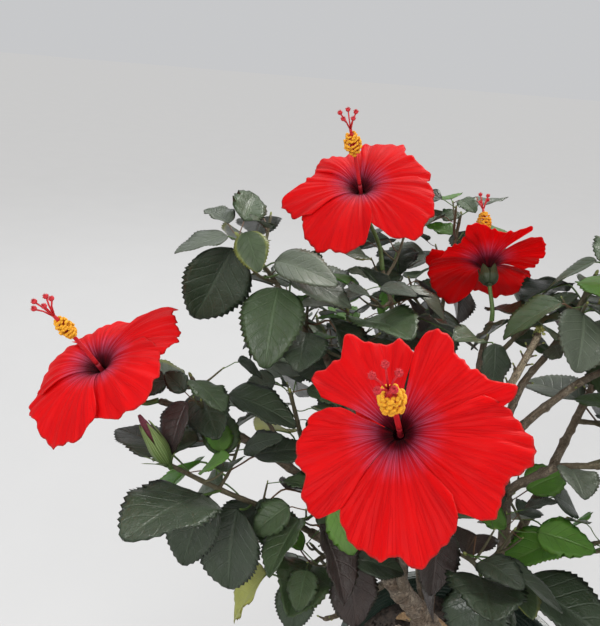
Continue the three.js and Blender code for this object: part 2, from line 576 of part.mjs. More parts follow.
function bloomSamples(bloom) {
  const found = [];
  for (const petal of bloom.petals) {
    for (const s of [0.3, 0.45, 0.6, 0.75, 0.9, 1]) {
      for (let k = 0; k <= 8; k += 1) found.push(petalPoint(bloom, petal, k / 8, s));
    }
  }
  const { at, facing } = bloomFrame(bloom);
  const calyxFoot = at.clone().addScaledVector(facing, -BLOOM.throat - BLOOM.calyx).toArray();
  const column = [bloom.at, at.clone().add(vector(bloom.column)).toArray()];
  const stalk = [...bloom.stalk, calyxFoot, bloom.at];
  return [...found, ...pointsAlong(column, SPACING.stalk), ...pointsAlong(stalk, SPACING.stalk)];
}

// Pot and soil are turned on the vertical axis
function turned(profile) {
  const outline = profile.map(([r, z]) => new THREE.Vector2(r, z));
  const shape = new THREE.LatheGeometry(outline, POT.sides);
  shape.rotateX(Math.PI / 2);
  return solidOf(shape);
}

function potSolid() {
  const { rim, foot, height, wall, floor, lip, lipHeight } = POT;
  const under = rim - lip;
  return turned([[0, 0], [foot, 0], [foot + 2, 4], [under, height - lipHeight],
    [rim, height - lipHeight + 2], [rim, height - 3], [rim - 3, height], [under - wall, height],
    [under - wall - 2, height - lipHeight], [foot - wall, floor], [0, floor]]);
}

function soilSolid() {
  const { rim, foot, height, wall, floor, lip, lipHeight } = POT;
  const bottom = foot - wall - 0.5;
  const inner = rim - lip - wall - 2;
  const climbed = (SOIL_TOP - floor) / (height - lipHeight - floor);
  const top = bottom + (inner - foot + wall) * climbed;
  return turned([[0, floor + CLEAR], [bottom, floor + CLEAR], [top, SOIL_TOP], [0, SOIL_TOP]]);
}

// The plant is put together from the pot up
const plant = new THREE.Group();

function addPart(name, solid, look) {
  const { vertProperties, triVerts } = solid.getMesh();
  const geometry = new THREE.BufferGeometry();
  geometry.setAttribute('position', new THREE.BufferAttribute(new Float32Array(vertProperties), 3));
  geometry.setIndex(new THREE.BufferAttribute(new Uint32Array(triVerts), 1));
  geometry.computeVertexNormals();
  const [color, roughness] = COLOURS[look];
  const mesh = new THREE.Mesh(geometry, new THREE.MeshStandardMaterial({ color, roughness, metalness: 0 }));
  mesh.name = name;
  plant.add(mesh);
}

addPart('pot', potSolid(), 'pot');
addPart('soil', soilSolid(), 'soil');

const grownLimbs = [];
for (const [name, limb] of Object.entries(LIMBS)) {
  const carrier = grownLimbs.length > 0 ? union(grownLimbs) : slabBelow(SOIL_TOP + CLEAR);
  addPart(name, mainPiece(limbSolid(name, limb).subtract(carrier)).simplify(SPACING.tidy), 'bark');
  grownLimbs.push(limbSolid(name, limb, CLEAR));
  const radiusAt = limbRadius(name, limb);
  const points = pointsAlong(limb.path, SPACING.limb);
  points.forEach((p, i) => take(p, radiusAt(i / (points.length - 1)) + ROOM.limb, name));
}
const limbsGrown = union(grownLimbs);
const carriers = union([limbsGrown, ...Object.values(BLOOMS).map((bloom) => bloomStalk(bloom, CLEAR))]);

for (const [name, bloom] of Object.entries(BLOOMS)) {
  const solid = bloomSolid(bloom).subtract(limbsGrown);
  addPart(name, mainPiece(solid).simplify(SPACING.tidy), 'petal');
  for (const p of bloomSamples(bloom)) take(p, ROOM.petal, name);
}

for (const [name, mass] of Object.entries(MASSES)) growShoots(mass, name);
for (const mass of Object.values(MASSES)) growHeldLeaves(mass);
for (const mass of Object.values(MASSES)) growLeaves(mass);
for (const [name, mass] of Object.entries(MASSES)) {
  addPart(name, mainPiece(massSolid(mass).subtract(carriers)).simplify(SPACING.tidy), 'leaf');
}

export default plant;
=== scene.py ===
# %% [markdown]
# # A potted hibiscus with red blooms
#
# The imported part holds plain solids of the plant: a pot, soil, seventeen woody limbs, eighteen masses of
# foliage and six blooms. This lesson dresses them. Bark, twigs, leaves and petals are grown again from the
# sizes that made the solids, with more detail, so each new piece lies where its solid is.

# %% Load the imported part
import math

import bpy
import numpy as np
from mathutils import Matrix


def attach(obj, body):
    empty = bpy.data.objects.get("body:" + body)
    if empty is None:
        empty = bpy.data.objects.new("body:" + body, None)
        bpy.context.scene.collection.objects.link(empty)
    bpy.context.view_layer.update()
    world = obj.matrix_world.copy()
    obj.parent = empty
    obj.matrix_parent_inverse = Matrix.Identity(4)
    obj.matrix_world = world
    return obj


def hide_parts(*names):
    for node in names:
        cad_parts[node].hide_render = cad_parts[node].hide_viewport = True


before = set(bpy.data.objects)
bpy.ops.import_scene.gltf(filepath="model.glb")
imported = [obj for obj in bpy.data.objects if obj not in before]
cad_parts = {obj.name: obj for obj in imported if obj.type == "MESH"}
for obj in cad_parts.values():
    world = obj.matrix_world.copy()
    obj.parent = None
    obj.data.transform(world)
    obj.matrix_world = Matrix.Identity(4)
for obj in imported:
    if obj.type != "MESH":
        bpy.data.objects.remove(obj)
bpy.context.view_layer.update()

MILLIMETRE = 0.001

# %% [markdown]
# ## The camera
#
# The photograph looks down on the plant from a little above its blooms, with the camera held slightly
# askew. A place, a pitch and a roll say that. The focal length is given in pixels of the 600 by 626 frame,
# and Blender's sensor of 36 mm stands for the frame's long side.

# %% Camera
CAMERA_AT = (-0.211, -0.466, 0.850)
CAMERA_PITCH = math.radians(23.03)
CAMERA_ROLL = math.radians(4.675)
FRAME_LONG_SIDE = 626
FOCAL_PIXELS = 600
SENSOR = 36


def add_object(name, data):
    made = bpy.data.objects.new(name, data)
    bpy.context.scene.collection.objects.link(made)
    return made


def pose(side, upright, back, place):
    """Stands an object at a place, with its own three axes along side, upright and back."""
    matrix = np.eye(4)
    matrix[:3] = np.stack([side, upright, back, place], axis=1)
    return Matrix(matrix)


ahead = np.array([0, math.cos(CAMERA_PITCH), -math.sin(CAMERA_PITCH)])
level = np.array([1.0, 0, 0])
above = np.array([0, math.sin(CAMERA_PITCH), math.cos(CAMERA_PITCH)])
right = math.cos(CAMERA_ROLL) * level + math.sin(CAMERA_ROLL) * above
up = math.cos(CAMERA_ROLL) * above - math.sin(CAMERA_ROLL) * level

camera_data = bpy.data.cameras.new("photo_camera")
camera_data.lens = SENSOR * FOCAL_PIXELS / FRAME_LONG_SIDE
camera_data.sensor_width = SENSOR
camera = add_object("photo_camera", camera_data)
camera.matrix_world = pose(right, up, -ahead, CAMERA_AT)
bpy.context.scene.camera = camera
print("lens in mm:", round(camera_data.lens, 2))

# %% [markdown]
# ## Studio light and floor
#
# In the photograph the sun comes from high on the right and behind, through haze, and the open sky fills
# the rest. A broad soft sun behind on the right, a large lamp in front on the left and a pale world give
# the same shine on petals and leaves without hard shadows. A weak lamp in front on the right opens the
# shadows there, and a wide cool one behind on the left stands for the sky that shines on the upper leaves.
# The floor is a plain pale sheet, about as bright as the world, so that no line parts the two.

# %% Lamps, world and floor
PLANT_MIDDLE = np.array([-0.07, 0.0, 0.52])
LAMPS = {
    "hazy_sun": ("SUN", (1.0, 1.3, 2.1), 0.3, 2.5, (1.0, 0.98, 0.95)),
    "front_fill": ("AREA", (-1.0, -1.7, 1.9), 1.2, 26, (1.0, 1.0, 1.0)),
    "right_front": ("AREA", (1.4, -1.2, 1.5), 0.8, 9, (1.0, 0.98, 0.95)),
    "sky_behind": ("AREA", (-0.7, 1.5, 2.2), 1.6, 13, (0.94, 0.97, 1.0)),
}
SKY_COLOUR = (0.97, 0.98, 1.0, 1)
SKY_STRENGTH = 0.59
FLOOR_REACH = 30


def add_lamp(name, kind, place, width, power, colour):
    """A sun, whose width is an angle in radians, or a round lamp, whose width is in metres."""
    data = bpy.data.lights.new(name, kind)
    if kind == "SUN":
        data.angle = width
    else:
        data.shape = "DISK"
        data.size = width
    data.energy = power
    data.color = colour
    lamp = add_object(name, data)
    back = np.array(place) - PLANT_MIDDLE
    back = back / np.linalg.norm(back)
    side = np.cross((0, 0, 1), back)
    side = side / np.linalg.norm(side)
    lamp.matrix_world = pose(side, np.cross(back, side), back, place)
    lamp.visible_camera = False


for name, settings in LAMPS.items():
    add_lamp(name, *settings)

world = bpy.data.worlds.new("open_sky")
world.use_nodes = True
background = world.node_tree.nodes["Background"]
background.inputs["Color"].default_value = SKY_COLOUR
background.inputs["Strength"].default_value = SKY_STRENGTH
bpy.context.scene.world = world
bpy.context.scene.view_settings.view_transform = "Standard"

floor_mesh = bpy.data.meshes.new("floor")
corners = [(x * FLOOR_REACH, y * FLOOR_REACH, 0) for x, y in ((-1, -1), (1, -1), (1, 1), (-1, 1))]
floor_mesh.from_pydata(corners, [], [(0, 1, 2, 3)])
floor = add_object("floor", floor_mesh)
print("lamps:", len(LAMPS), "floor in metres across:", 2 * FLOOR_REACH)

# %% [markdown]
# ## Shader maths in plain Python
#
# A finish is a graph of nodes, and sums in it are easier to read as sums. A Wire wraps a socket, so that
# `1 - mask * 0.5` adds its Math nodes by itself. Every other node comes from `Finish.node`, which takes its
# type, its settings, and then what goes into its sockets.

# %% Wire
class Wire:
    """A socket that can be used in sums."""

    def __init__(self, finish, socket):
        self.finish = finish
        self.socket = socket

    def combine(self, operation, first, second):
        return self.finish.math(operation, first, second)

    def __add__(self, other):
        return self.combine("ADD", self, other)

    def __radd__(self, other):
        return self.combine("ADD", other, self)

    def __sub__(self, other):
        return self.combine("SUBTRACT", self, other)

    def __rsub__(self, other):
        return self.combine("SUBTRACT", other, self)

    def __mul__(self, other):
        return self.combine("MULTIPLY", self, other)

    def __rmul__(self, other):
        return self.combine("MULTIPLY", other, self)


# %% Finish
class Finish:
    """A material in the making, on Blender's Principled shader."""

    def __init__(self, name, **constants):
        self.material = bpy.data.materials.new(name)
        self.material.use_nodes = True
        self.tree = self.material.node_tree
        self.shader = self.tree.nodes["Principled BSDF"]
        for socket, value in constants.items():
            self.shader.inputs[socket.replace("_", " ")].default_value = value

    def feed(self, socket, value):
        """Puts a wire, a number or a colour into a socket."""
        if isinstance(value, Wire):
            self.tree.links.new(value.socket, socket)
        elif hasattr(value, "__len__") and len(value) == 3 and len(socket.default_value) == 4:
            socket.default_value = (*value, 1)
        else:
            socket.default_value = value

    def node(self, kind, settings=None, inputs=None, output=0):
        """Any node: its type, its settings, what goes into its sockets, and the output to go on with."""
        made = self.tree.nodes.new(kind)
        settings = dict(settings or {})
        for number, (stop, colour) in enumerate(settings.pop("stops", [])):
            elements = made.color_ramp.elements
            element = elements[number] if number < 2 else elements.new(stop)
            element.position = stop
            element.color = (*colour, 1)
        for name, value in settings.items():
            setattr(made, name, value)
        for key, value in (inputs or {}).items():
            self.feed(made.inputs[key], value)
        return Wire(self, made.outputs[output])

    def math(self, operation, *values):
        return self.node("ShaderNodeMath", {"operation": operation}, dict(enumerate(values)))

    def step(self, value, low, high):
        """0 below low, 1 above high, and a smooth climb between them."""
        return self.node("ShaderNodeMapRange", {"interpolation_type": "SMOOTHSTEP"},
                         {"Value": value, "From Min": low, "From Max": high})

    def blend(self, share, first, second):
        """A colour between two, by a share from 0 to 1."""
        return self.node("ShaderNodeMix", {"data_type": "RGBA"}, {0: share, 6: first, 7: second}, 2)

    def ramp(self, share, stops):
        """A colour by a share from 0 to 1, blended between stops. The first and the last stop come first."""
        return self.node("ShaderNodeValToRGB", {"stops": stops}, {"Fac": share})

    def noise(self, where, scale, detail=3.0, roughness=0.5):
        return self.node("ShaderNodeTexNoise", {}, {"Vector": where, "Scale": scale, "Detail": detail,
                                                    "Roughness": roughness}, "Fac")

    def stretched(self, where, factors):
        """A place scaled by its own factor along each axis."""
        return self.node("ShaderNodeVectorMath", {"operation": "MULTIPLY"}, {0: where, 1: factors})

    def place(self):
        """The place that each shape in a joined piece gives to its points, as a vector and three numbers."""
        where = self.node("ShaderNodeAttribute", {"attribute_name": "place"}, output="Vector")
        parts = self.node("ShaderNodeSeparateXYZ", {}, {"Vector": where})
        outputs = parts.socket.node.outputs
        return [where] + [Wire(self, socket) for socket in outputs]

    def colour(self, wire):
        self.feed(self.shader.inputs["Base Color"], wire)

    def roughness(self, wire):
        self.feed(self.shader.inputs["Roughness"], wire)

    def bump(self, height, distance, strength=1.0):
        normal = self.node("ShaderNodeBump", {}, {"Height": height, "Distance": distance,
                                                  "Strength": strength}, "Normal")
        self.feed(self.shader.inputs["Normal"], normal)

    def let_light_through(self, share, colour):
        """Mixes in a Translucent shader, so that light from behind shows."""
        through = self.node("ShaderNodeBsdfTranslucent", {}, {"Color": colour})
        mixed = self.node("ShaderNodeMixShader", {}, {0: share, 1: Wire(self, self.shader.outputs[0]),
                                                      2: through})
        self.feed(self.tree.nodes["Material Output"].inputs["Surface"], mixed)

# %% Finish of the floor
FLOOR_GREYS = ((0.52, 0.52, 0.52), (0.54, 0.54, 0.54))
FLOOR_GRAIN = 6
floor_finish = Finish("pale_floor", Roughness=0.9, Specular_IOR_Level=0.0)
floor_grain = floor_finish.noise(floor_finish.node("ShaderNodeTexCoord", output="Object"), FLOOR_GRAIN)
floor_finish.colour(floor_finish.blend(floor_grain, *FLOOR_GREYS))
floor.data.materials.append(floor_finish.material)
print("floor finished")

# %% [markdown]
# ## Sizes of the plant
#
# These are the sizes that the solids were made from, in millimetres: the limbs' paths and radii, the stem
# of each mass of foliage with its seed, the leaves that stand out, and the blooms. A leaf that stands out
# says how far along the stem it grows, its heading, pitch and roll, its length and its finish. Under
# tinted, a mass gives a finish to some of its other leaves, by their number.

# %% Pot, leaf, twig and bloom sizes
POT_RIM = 140
SOIL_TOP = 205
LEAF = {"fold": 0.1, "arch": 0.16, "width": 0.35, "full": 0.72, "taper": 0.25}
STALK = {"rise": 28, "root": 0.8, "tip": 1.15, "shortest": 6, "share": 0.3}
GOLDEN_ANGLE = 137.5
TWIG = {"stem": {"root": 3, "tip": 2.2, "leaves": 6}, "side": {"root": 1.7, "tip": 1.4, "leaves": 5}}
BLOOM = {"hole": 3, "throat": 20, "funnel": 9, "petal": 75, "lap": 7, "calyx": 13, "stalk": 2.1,
         "split": 0.86, "spread": 7}
ROOM = {"limb": 5, "twig": 5, "leaf": 9.5, "petal": 11, "rim_top": 254, "reach": 95}
SPACING = {"limb": 7, "shoot": 6, "stalk": 8}
FLARE = {"extra": 8, "fade": 14}
print("radius of the pot's rim in mm:", POT_RIM)

# %% Limbs: path, radius at the root and radius at the tip
LIMBS = {
    "trunk": ([[8, 6, SOIL_TOP - 6], [-20, 2, 262], [-60, -4, 322], [-106, -12, 386]], 13, 9.5),
    "stem_right": ([[-30, 1, 276], [-10, -16, 335], [2, -22, 410], [-8, -14, 490], [-22, 4, 558]], 7.5, 4.6),
    "bough_left_low": ([[-104, -11, 383], [-146, -26, 418], [-186, -38, 452]], 6.5, 4.4),
    "bough_left_mid": ([[-102, -8, 380], [-150, 6, 440], [-215, -6, 501], [-281, -26, 556],
                        [-322, -40, 580]], 5, 2.6),
    "bough_upper_left": ([[-100, -8, 379], [-122, 28, 450], [-152, 40, 530], [-183, 35, 594]], 5.4, 3.6),
    "bough_top": ([[-92, -9, 368], [-94, 40, 440], [-102, 72, 530], [-112, 82, 590]], 5.4, 3.6),
    "bough_front": ([[-84, -8, 357], [-98, -48, 430], [-112, -92, 520], [-120, -116, 576]], 5, 3),
    "bough_back_left": ([[-74, -6, 344], [-108, 58, 406], [-140, 104, 462], [-160, 132, 505]], 5, 3.4),
    "bough_back": ([[-52, -3, 311], [-62, 78, 390], [-60, 132, 470], [-50, 165, 552]], 5.6, 3.4),
    "bough_back_right": ([[0, -21, 392], [44, 30, 455], [88, 82, 520], [116, 112, 572]], 5, 3.4),
    "bough_right_low": ([[-4, -18, 460], [-14, -34, 512], [14, -47, 552]], 4.4, 3.4),
    "bough_right_mid": ([[-13, -8, 515], [-6, -4, 556], [30, 10, 589], [64, 19, 611],
                         [122, 28, 640]], 4, 2.8),
    "bough_right_top": ([[-16, -4, 532], [-34, 38, 575], [-26, 78, 602], [-19, 90, 622]], 4, 2.8),
    "bough_right_high": ([[-19, 0, 546], [2, 34, 580], [26, 52, 606]], 3.8, 3),
    "bough_stub": ([[-21, 3, 556], [-22, 14, 574], [-10, 23, 595], [6, 31, 639]], 3.7, 3.1),
    "twig_bare": ([[-213, -6, 499], [-232, 2, 539], [-268, -9, 570]], 2.2, 1.4),
    "twig_rim": ([[-98, -11, 375], [-136, -16, 333], [-163, -33, 336]], 3, 2.2),
}
print("limbs:", len(LIMBS))

# %% Masses of foliage: stem, side shoots, reach, leaf length, seed, and leaves that stand out
MASSES = {
    "foliage_upper_left": {
        "stem": [[-183, 35, 594], [-214, 33, 632], [-237, 37, 667], [-269, 32, 705]],
        "shoots": 3, "reach": 62, "leaf": 76, "seed": 101,
        "held": [[0.8, 197, -65, -89, 76, "deep"], [1, 300, -38, 20, 38, "edged"],
                 [1, 199, -54, -33, 34, "dusty"],
                 [1, 135, 20, 0, 34, "dusty"], [0.55, 242, 46, -84, 40, "mid"],
                 [0.36, 190, -68, 14, 59, "mid"],
                 [0.28, 214, -80, -89, 52, "mid"], [0.2, 265, 0, 0, 55, "deep"]],
        "tinted": {6: "mid", 7: "mid", 8: "edged", 9: "dusty", 12: "dusty", 13: "dusty", 14: "dusty"}},
    "foliage_left_mid": {
        "stem": [[-284, -26, 558], [-292, -14, 572], [-302, -4, 584]],
        "shoots": 2, "reach": 50, "leaf": 62, "seed": 202,
        "held": [[0.67, 242, 18, -81, 34, "dusty"], [0.55, 296, 14, 88, 29, "bright"]],
        "tinted": {0: "deep", 2: "deep", 3: "maroon", 4: "mid"}},
    "foliage_left_low": {
        "stem": [[-186, -38, 452], [-216, -48, 479], [-261, -66, 513], [-302, -91, 556]],
        "shoots": 2, "reach": 50, "leaf": 70, "seed": 303, "bud": [-23, 5, 39],
        "held": [[0.87, 150, 5, 0, 62, "deep"], [0.69, 245, 25, 0, 88, "deep"],
                 [0.9, 340, 50, 0, 32, "bright"], [0.5, 245, -70, 0, 76, "deep"]],
        "tinted": {4: "deep", 5: "maroon", 6: "mid", 7: "deep", 8: "maroon", 9: "mid",
                   12: "deep", 13: "deep"}},
    "foliage_centre_left": {
        "stem": [[-190, -1, 480], [-200, 16, 515], [-214, 24, 560]],
        "shoots": 2, "reach": 55, "leaf": 62, "seed": 404,
        "held": [[1, 167, -24, -39, 37, "deep"], [0.54, 170, -30, 0, 36, "deep"],
                 [0.14, 240, 25, 0, 52, "dusty"]]},
    "foliage_low_left": {
        "stem": [[-140, -24, 413], [-170, -44, 430], [-200, -64, 415]],
        "shoots": 2, "reach": 55, "leaf": 68, "seed": 505,
        "held": [[0.1, 140, -30, 0, 80, "deep"], [0.57, 250, 20, 0, 66, "mid"],
                 [0.25, 250, 20, 0, 58, "maroon"], [1, 185, -55, 0, 62, "yellow"]],
        "tinted": {2: "maroon", 3: "mid", 4: "deep", 7: "deep"}},
    "foliage_front_low": {
        "stem": [[2, -22, 396], [-18, -50, 428], [-42, -74, 462], [-62, -92, 492]],
        "shoots": 3, "reach": 60, "leaf": 78, "seed": 606,
        "held": [[0.64, 170, -80, 0, 86, "maroon"], [0.65, 255, 30, 0, 77, "deep"],
                 [0.8, 75, -55, 0, 58, "maroon"], [1, 35, 0, 0, 71, "bright"]],
        "tinted": {3: "deep", 4: "deep", 5: "deep", 6: "deep", 9: "maroon"}},
    "foliage_right_front": {
        "stem": [[0, -20, 436], [34, -36, 448], [68, -52, 480]],
        "shoots": 3, "reach": 60, "leaf": 74, "seed": 707, "held": [],
        "tinted": {0: "bright", 1: "bright"}},
    "foliage_centre": {
        "stem": [[-150, 39, 526], [-158, 66, 575], [-164, 84, 622]],
        "shoots": 3, "reach": 60, "leaf": 66, "seed": 757,
        "held": [[1, 120, 5, 0, 68, "dusty"], [1, 230, 20, 0, 53, "dusty"], [0.88, 295, 25, 0, 80, "mid"],
                 [0.6, 100, 5, 0, 45, "deep"]],
        "tinted": {5: "deep", 8: "deep", 11: "deep"}},
    "foliage_top_centre": {
        "stem": [[-112, 82, 590], [-120, 96, 628], [-132, 108, 660]],
        "shoots": 3, "reach": 64, "leaf": 66, "seed": 808,
        "held": [[0.7, 230, 45, 0, 43, "dusty"], [0.55, 95, 15, 0, 46, "deep"],
                 [0.93, 285, 50, 0, 58, "dusty"],
                 [0.54, 280, 15, 0, 52, "mid"]],
        "tinted": {2: "dusty", 3: "maroon", 4: "dusty"}},
    "foliage_top_back": {
        "stem": [[-50, 165, 552], [-46, 188, 620], [-40, 204, 700]],
        "shoots": 4, "reach": 72, "leaf": 70, "seed": 913,
        "held": [[1, 100, 5, 0, 70, "dusty"], [1, 35, 10, 0, 55, "dusty"], [1, 250, 15, 0, 41, "deep"]],
        "tinted": {2: "maroon", 6: "deep", 12: "dusty"}},
    "foliage_right_near": {
        "stem": [[-32, 56, 587], [-8, 66, 606], [14, 76, 636]],
        "shoots": 2, "reach": 56, "leaf": 68, "seed": 967,
        "held": [[1, 160, -31, -89, 48, "deep"], [0.05, 262, 26, 73, 65, "deep"],
                 [0.37, 328, -59, 89, 55, "deep"], [0.59, 335, -20, 0, 42, "mid"]],
        "tinted": {0: "mid", 1: "deep", 2: "deep", 3: "deep"}},
    "foliage_right": {
        "stem": [[26, 52, 606], [46, 64, 640], [62, 74, 684]],
        "shoots": 4, "reach": 72, "leaf": 74, "seed": 1010,
        "held": [[0.05, 256, 0, 72, 32, "mid"], [0.13, 251, 11, 41, 32, "dusty"],
                 [0.46, 75, 0, 0, 53, "mid"], [0.45, 45, 10, 0, 48, "bright"]],
        "tinted": {1: "dusty", 4: "bright", 6: "deep", 7: "dusty", 8: "mid", 10: "mid"}},
    "foliage_right_low": {
        "stem": [[14, -47, 552], [40, -62, 566], [78, -74, 574], [120, -80, 590]],
        "shoots": 4, "reach": 70, "leaf": 74, "seed": 1111,
        "held": [[0.06, 260, 15, 0, 41, "dusty"], [0.2, 280, -80, 0, 58, "bright"],
                 [0.34, 275, -70, 0, 84, "bright"], [0.05, 100, -25, 0, 50, "deep"]]},
    "foliage_right_far": {
        "stem": [[122, 28, 640], [156, 32, 660], [196, 36, 700]],
        "shoots": 2, "reach": 74, "leaf": 74, "seed": 1212, "bud": [12, 4, 38], "held": []},
    "foliage_back_left": {
        "stem": [[-160, 132, 505], [-178, 166, 530], [-190, 200, 562]],
        "shoots": 3, "reach": 66, "leaf": 74, "seed": 1321, "held": []},
    "foliage_back_low": {
        "stem": [[-60, 130, 468], [-66, 170, 486], [-70, 214, 520]],
        "shoots": 3, "reach": 72, "leaf": 74, "seed": 1414, "held": []},
    "foliage_back_right": {
        "stem": [[116, 112, 572], [140, 134, 610], [158, 150, 660]],
        "shoots": 3, "reach": 76, "leaf": 76, "seed": 1515, "held": [],
        "tinted": {2: "dusty", 7: "dusty"}},
    "foliage_right_back_low": {
        "stem": [[88, 82, 519], [128, 84, 520], [166, 76, 545]],
        "shoots": 3, "reach": 66, "leaf": 74, "seed": 1616, "held": []},
}
print("masses of foliage:", len(MASSES), "with leaves that stand out:",
      sum(len(mass["held"]) for mass in MASSES.values()))

# %% Blooms
# Each has its throat, the way that it opens, its column, its stalk, its rise and curl, and the room kept
# open before it. A petal has its first and last angle, its edge radii from side to side and its extra
# droop. One petal also says how far its outer margin is bent back.
BLOOMS = {
    "bloom_front": {
        "at": [-149, -163, 651], "facing": [-0.364, -0.646, 0.67], "column": [-18, -47, 59],
        "stalk": [[-120, -116, 576], [-123, -127, 598]], "rise": 6, "curl": 4, "open": 66,
        "petals": [[77, 157, [50, 58, 56, 58, 69, 59, 60, 64, 50], 3],
                   [10, 76, [58, 74, 64, 59, 58, 59, 65, 65, 52], 0],
                   [-54, 20, [54, 69, 71, 67, 73, 79, 73, 66, 56], 4, 10],
                   [233, 312, [50, 65, 70, 73, 71, 77, 69, 65, 50], 0],
                   [157, 238, [38, 50, 56, 62, 64, 60, 67, 70, 54], 0]]},
    "bloom_left": {
        "at": [-368, -52, 620], "facing": [-0.3, -0.32, 0.9], "column": [-24, -28, 57],
        "stalk": [[-322, -40, 580], [-336, -42, 578]], "rise": 4, "curl": 18, "open": 62,
        "petals": [[2, 60, [50, 58, 63, 66, 68, 70, 74, 80, 50], 0],
                   [54, 134, [50, 60, 66, 62, 54, 52, 54, 54, 48], 24],
                   [124, 214, [48, 54, 56, 56, 56, 56, 54, 52, 44], 24],
                   [205, 284, [48, 60, 61, 62, 67, 73, 73, 70, 52], 0],
                   [272, 380, [38, 52, 60, 66, 65, 60, 55, 49, 40], 0]]},
    "bloom_top": {
        "at": [-165, 96, 747], "facing": [-0.2, -0.5, 0.84], "column": [-19, -30, 61],
        "stalk": [[-132, 108, 660], [-138, 117, 684]], "rise": 4, "curl": 12, "open": 66,
        "petals": [[138, 216, [50, 52, 51, 52, 58, 76, 73, 70, 58], 0],
                   [74, 146, [54, 62, 60, 59, 58, 58, 60, 58, 50], 16],
                   [2, 84, [54, 66, 62, 59, 58, 71, 64, 56, 48], 0],
                   [276, 360, [44, 53, 68, 79, 77, 75, 69, 64, 50], 0],
                   [205, 280, [56, 62, 70, 77, 81, 81, 79, 68, 44], 0]]},
    "bloom_right": {
        "at": [-23, 133, 674], "facing": [0.013, 0.797, 0.604], "column": [-1, 54, 50],
        "stalk": [[-19, 90, 622], [-20, 93, 634]], "rise": 6, "curl": 8, "open": 62,
        "petals": [[92, 172, [52, 84, 84, 78, 70, 65, 61, 62, 56], 0],
                   [164, 240, [60, 56, 46, 42, 40, 40, 42, 46, 46], 0],
                   [232, 306, [48, 64, 54, 46, 44, 46, 51, 58, 46], 0],
                   [304, 382, [50, 58, 57, 57, 56, 53, 55, 58, 50], 0],
                   [18, 94, [50, 59, 70, 75, 74, 73, 68, 64, 46], 0]]},
    "bloom_back": {
        "at": [176, 168, 742], "facing": [0.45, 0.4, 0.8], "column": [32, 28, 62],
        "stalk": [[158, 150, 660], [160, 156, 684]], "rise": 8, "curl": 12, "open": 0,
        "petals": [[0, 80, [60, 72, 76, 70, 58], 0], [72, 152, [58, 70, 78, 72, 58], 0],
                   [144, 224, [60, 74, 76, 70, 60], 0], [216, 296, [58, 72, 74, 72, 60], 0],
                   [288, 368, [58, 70, 76, 72, 60], 0]]},
    "bloom_back_low": {
        "at": [-75, 236, 420], "facing": [-0.15, 0.95, 0.27], "column": [-12, 62, 26],
        "stalk": [[-61, 127, 464], [-64, 150, 440]], "rise": 8, "curl": 12, "open": 0,
        "petals": [[10, 90, [58, 70, 74, 70, 58], 0], [82, 162, [58, 72, 78, 70, 58], 0],
                   [154, 234, [58, 72, 74, 70, 58], 0], [226, 306, [58, 70, 76, 72, 58], 0],
                   [298, 378, [58, 72, 74, 70, 58], 0]]},
}
print("blooms:", len(BLOOMS))

# %% Where the plant is seen from and seen through: a point in each opening and the room kept clear there
VIEWER = np.array(CAMERA_AT) / MILLIMETRE
OPENINGS = [{"at": [-293, 24, 597], "open": 27}, {"at": [-230, 67, 699], "open": 13},
            {"at": [-244, -21, 490], "open": 14}, {"at": [51, 6, 556], "open": 21},
            {"at": [-64, 197, 748], "open": 20}, {"at": [83, 184, 717], "open": 36},
            {"at": [101, -6, 398], "open": 19}]
CLEAR_TO = {"bloom": 0.97, "opening": 3}
print("openings kept clear:", len(OPENINGS))

# %% [markdown]
# ## Curves and the space that is taken
#
# A limb follows a smooth curve through a few points. The growing rule then needs to know which space is
# free: each limb, twig, leaf and petal leaves points with the room that later ones keep to them. A leaf
# that would come too near is turned round its twig, and skipped where no turn helps. That keeps a shrub
# open, as a real one is, because its leaves make room for each other.

# %% Curves
def curve_points(path, fractions):
    """Points of a smooth curve through path, at fractions of its stretches from 0 to 1."""
    path = np.array(path, float)
    padded = np.vstack([2 * path[0] - path[1], path, 2 * path[-1] - path[-2]])
    place = np.clip(np.asarray(fractions, float), 0, 1) * (len(path) - 1)
    stretch = np.minimum(place.astype(int), len(path) - 2)
    t = (place - stretch)[..., None]
    before, first, last, after = (padded[stretch + k] for k in range(4))
    leave = 0.5 * (last - before)
    arrive = 0.5 * (after - first)
    return (first + leave * t + (3 * (last - first) - 2 * leave - arrive) * t ** 2
            + (2 * (first - last) + leave + arrive) * t ** 3)


def path_length(path):
    return float(np.linalg.norm(np.diff(np.array(path, float), axis=0), axis=1).sum())


def points_along(path, spacing, start=0.0):
    count = max(2, int(path_length(path) * (1 - start) / spacing + 0.5))
    return curve_points(path, [start + (1 - start) * i / count for i in range(count + 1)])


def heading_vector(heading, pitch):
    heading, pitch = math.radians(heading), math.radians(pitch)
    return np.array([math.cos(pitch) * math.cos(heading), math.cos(pitch) * math.sin(heading),
                     math.sin(pitch)])


def unit(vector):
    vector = np.asarray(vector, float)
    return vector / np.linalg.norm(vector, axis=-1, keepdims=True)


def limb_radius(name, t):
    path, root, tip = LIMBS[name]
    flare = FLARE["extra"] if name == "trunk" else 0
    rise = path[-1][2] - path[0][2]
    return root + (tip - root) * t + flare * np.exp(-t * rise / FLARE["fade"])


# %% Space that is taken
LOOK_AROUND = 30


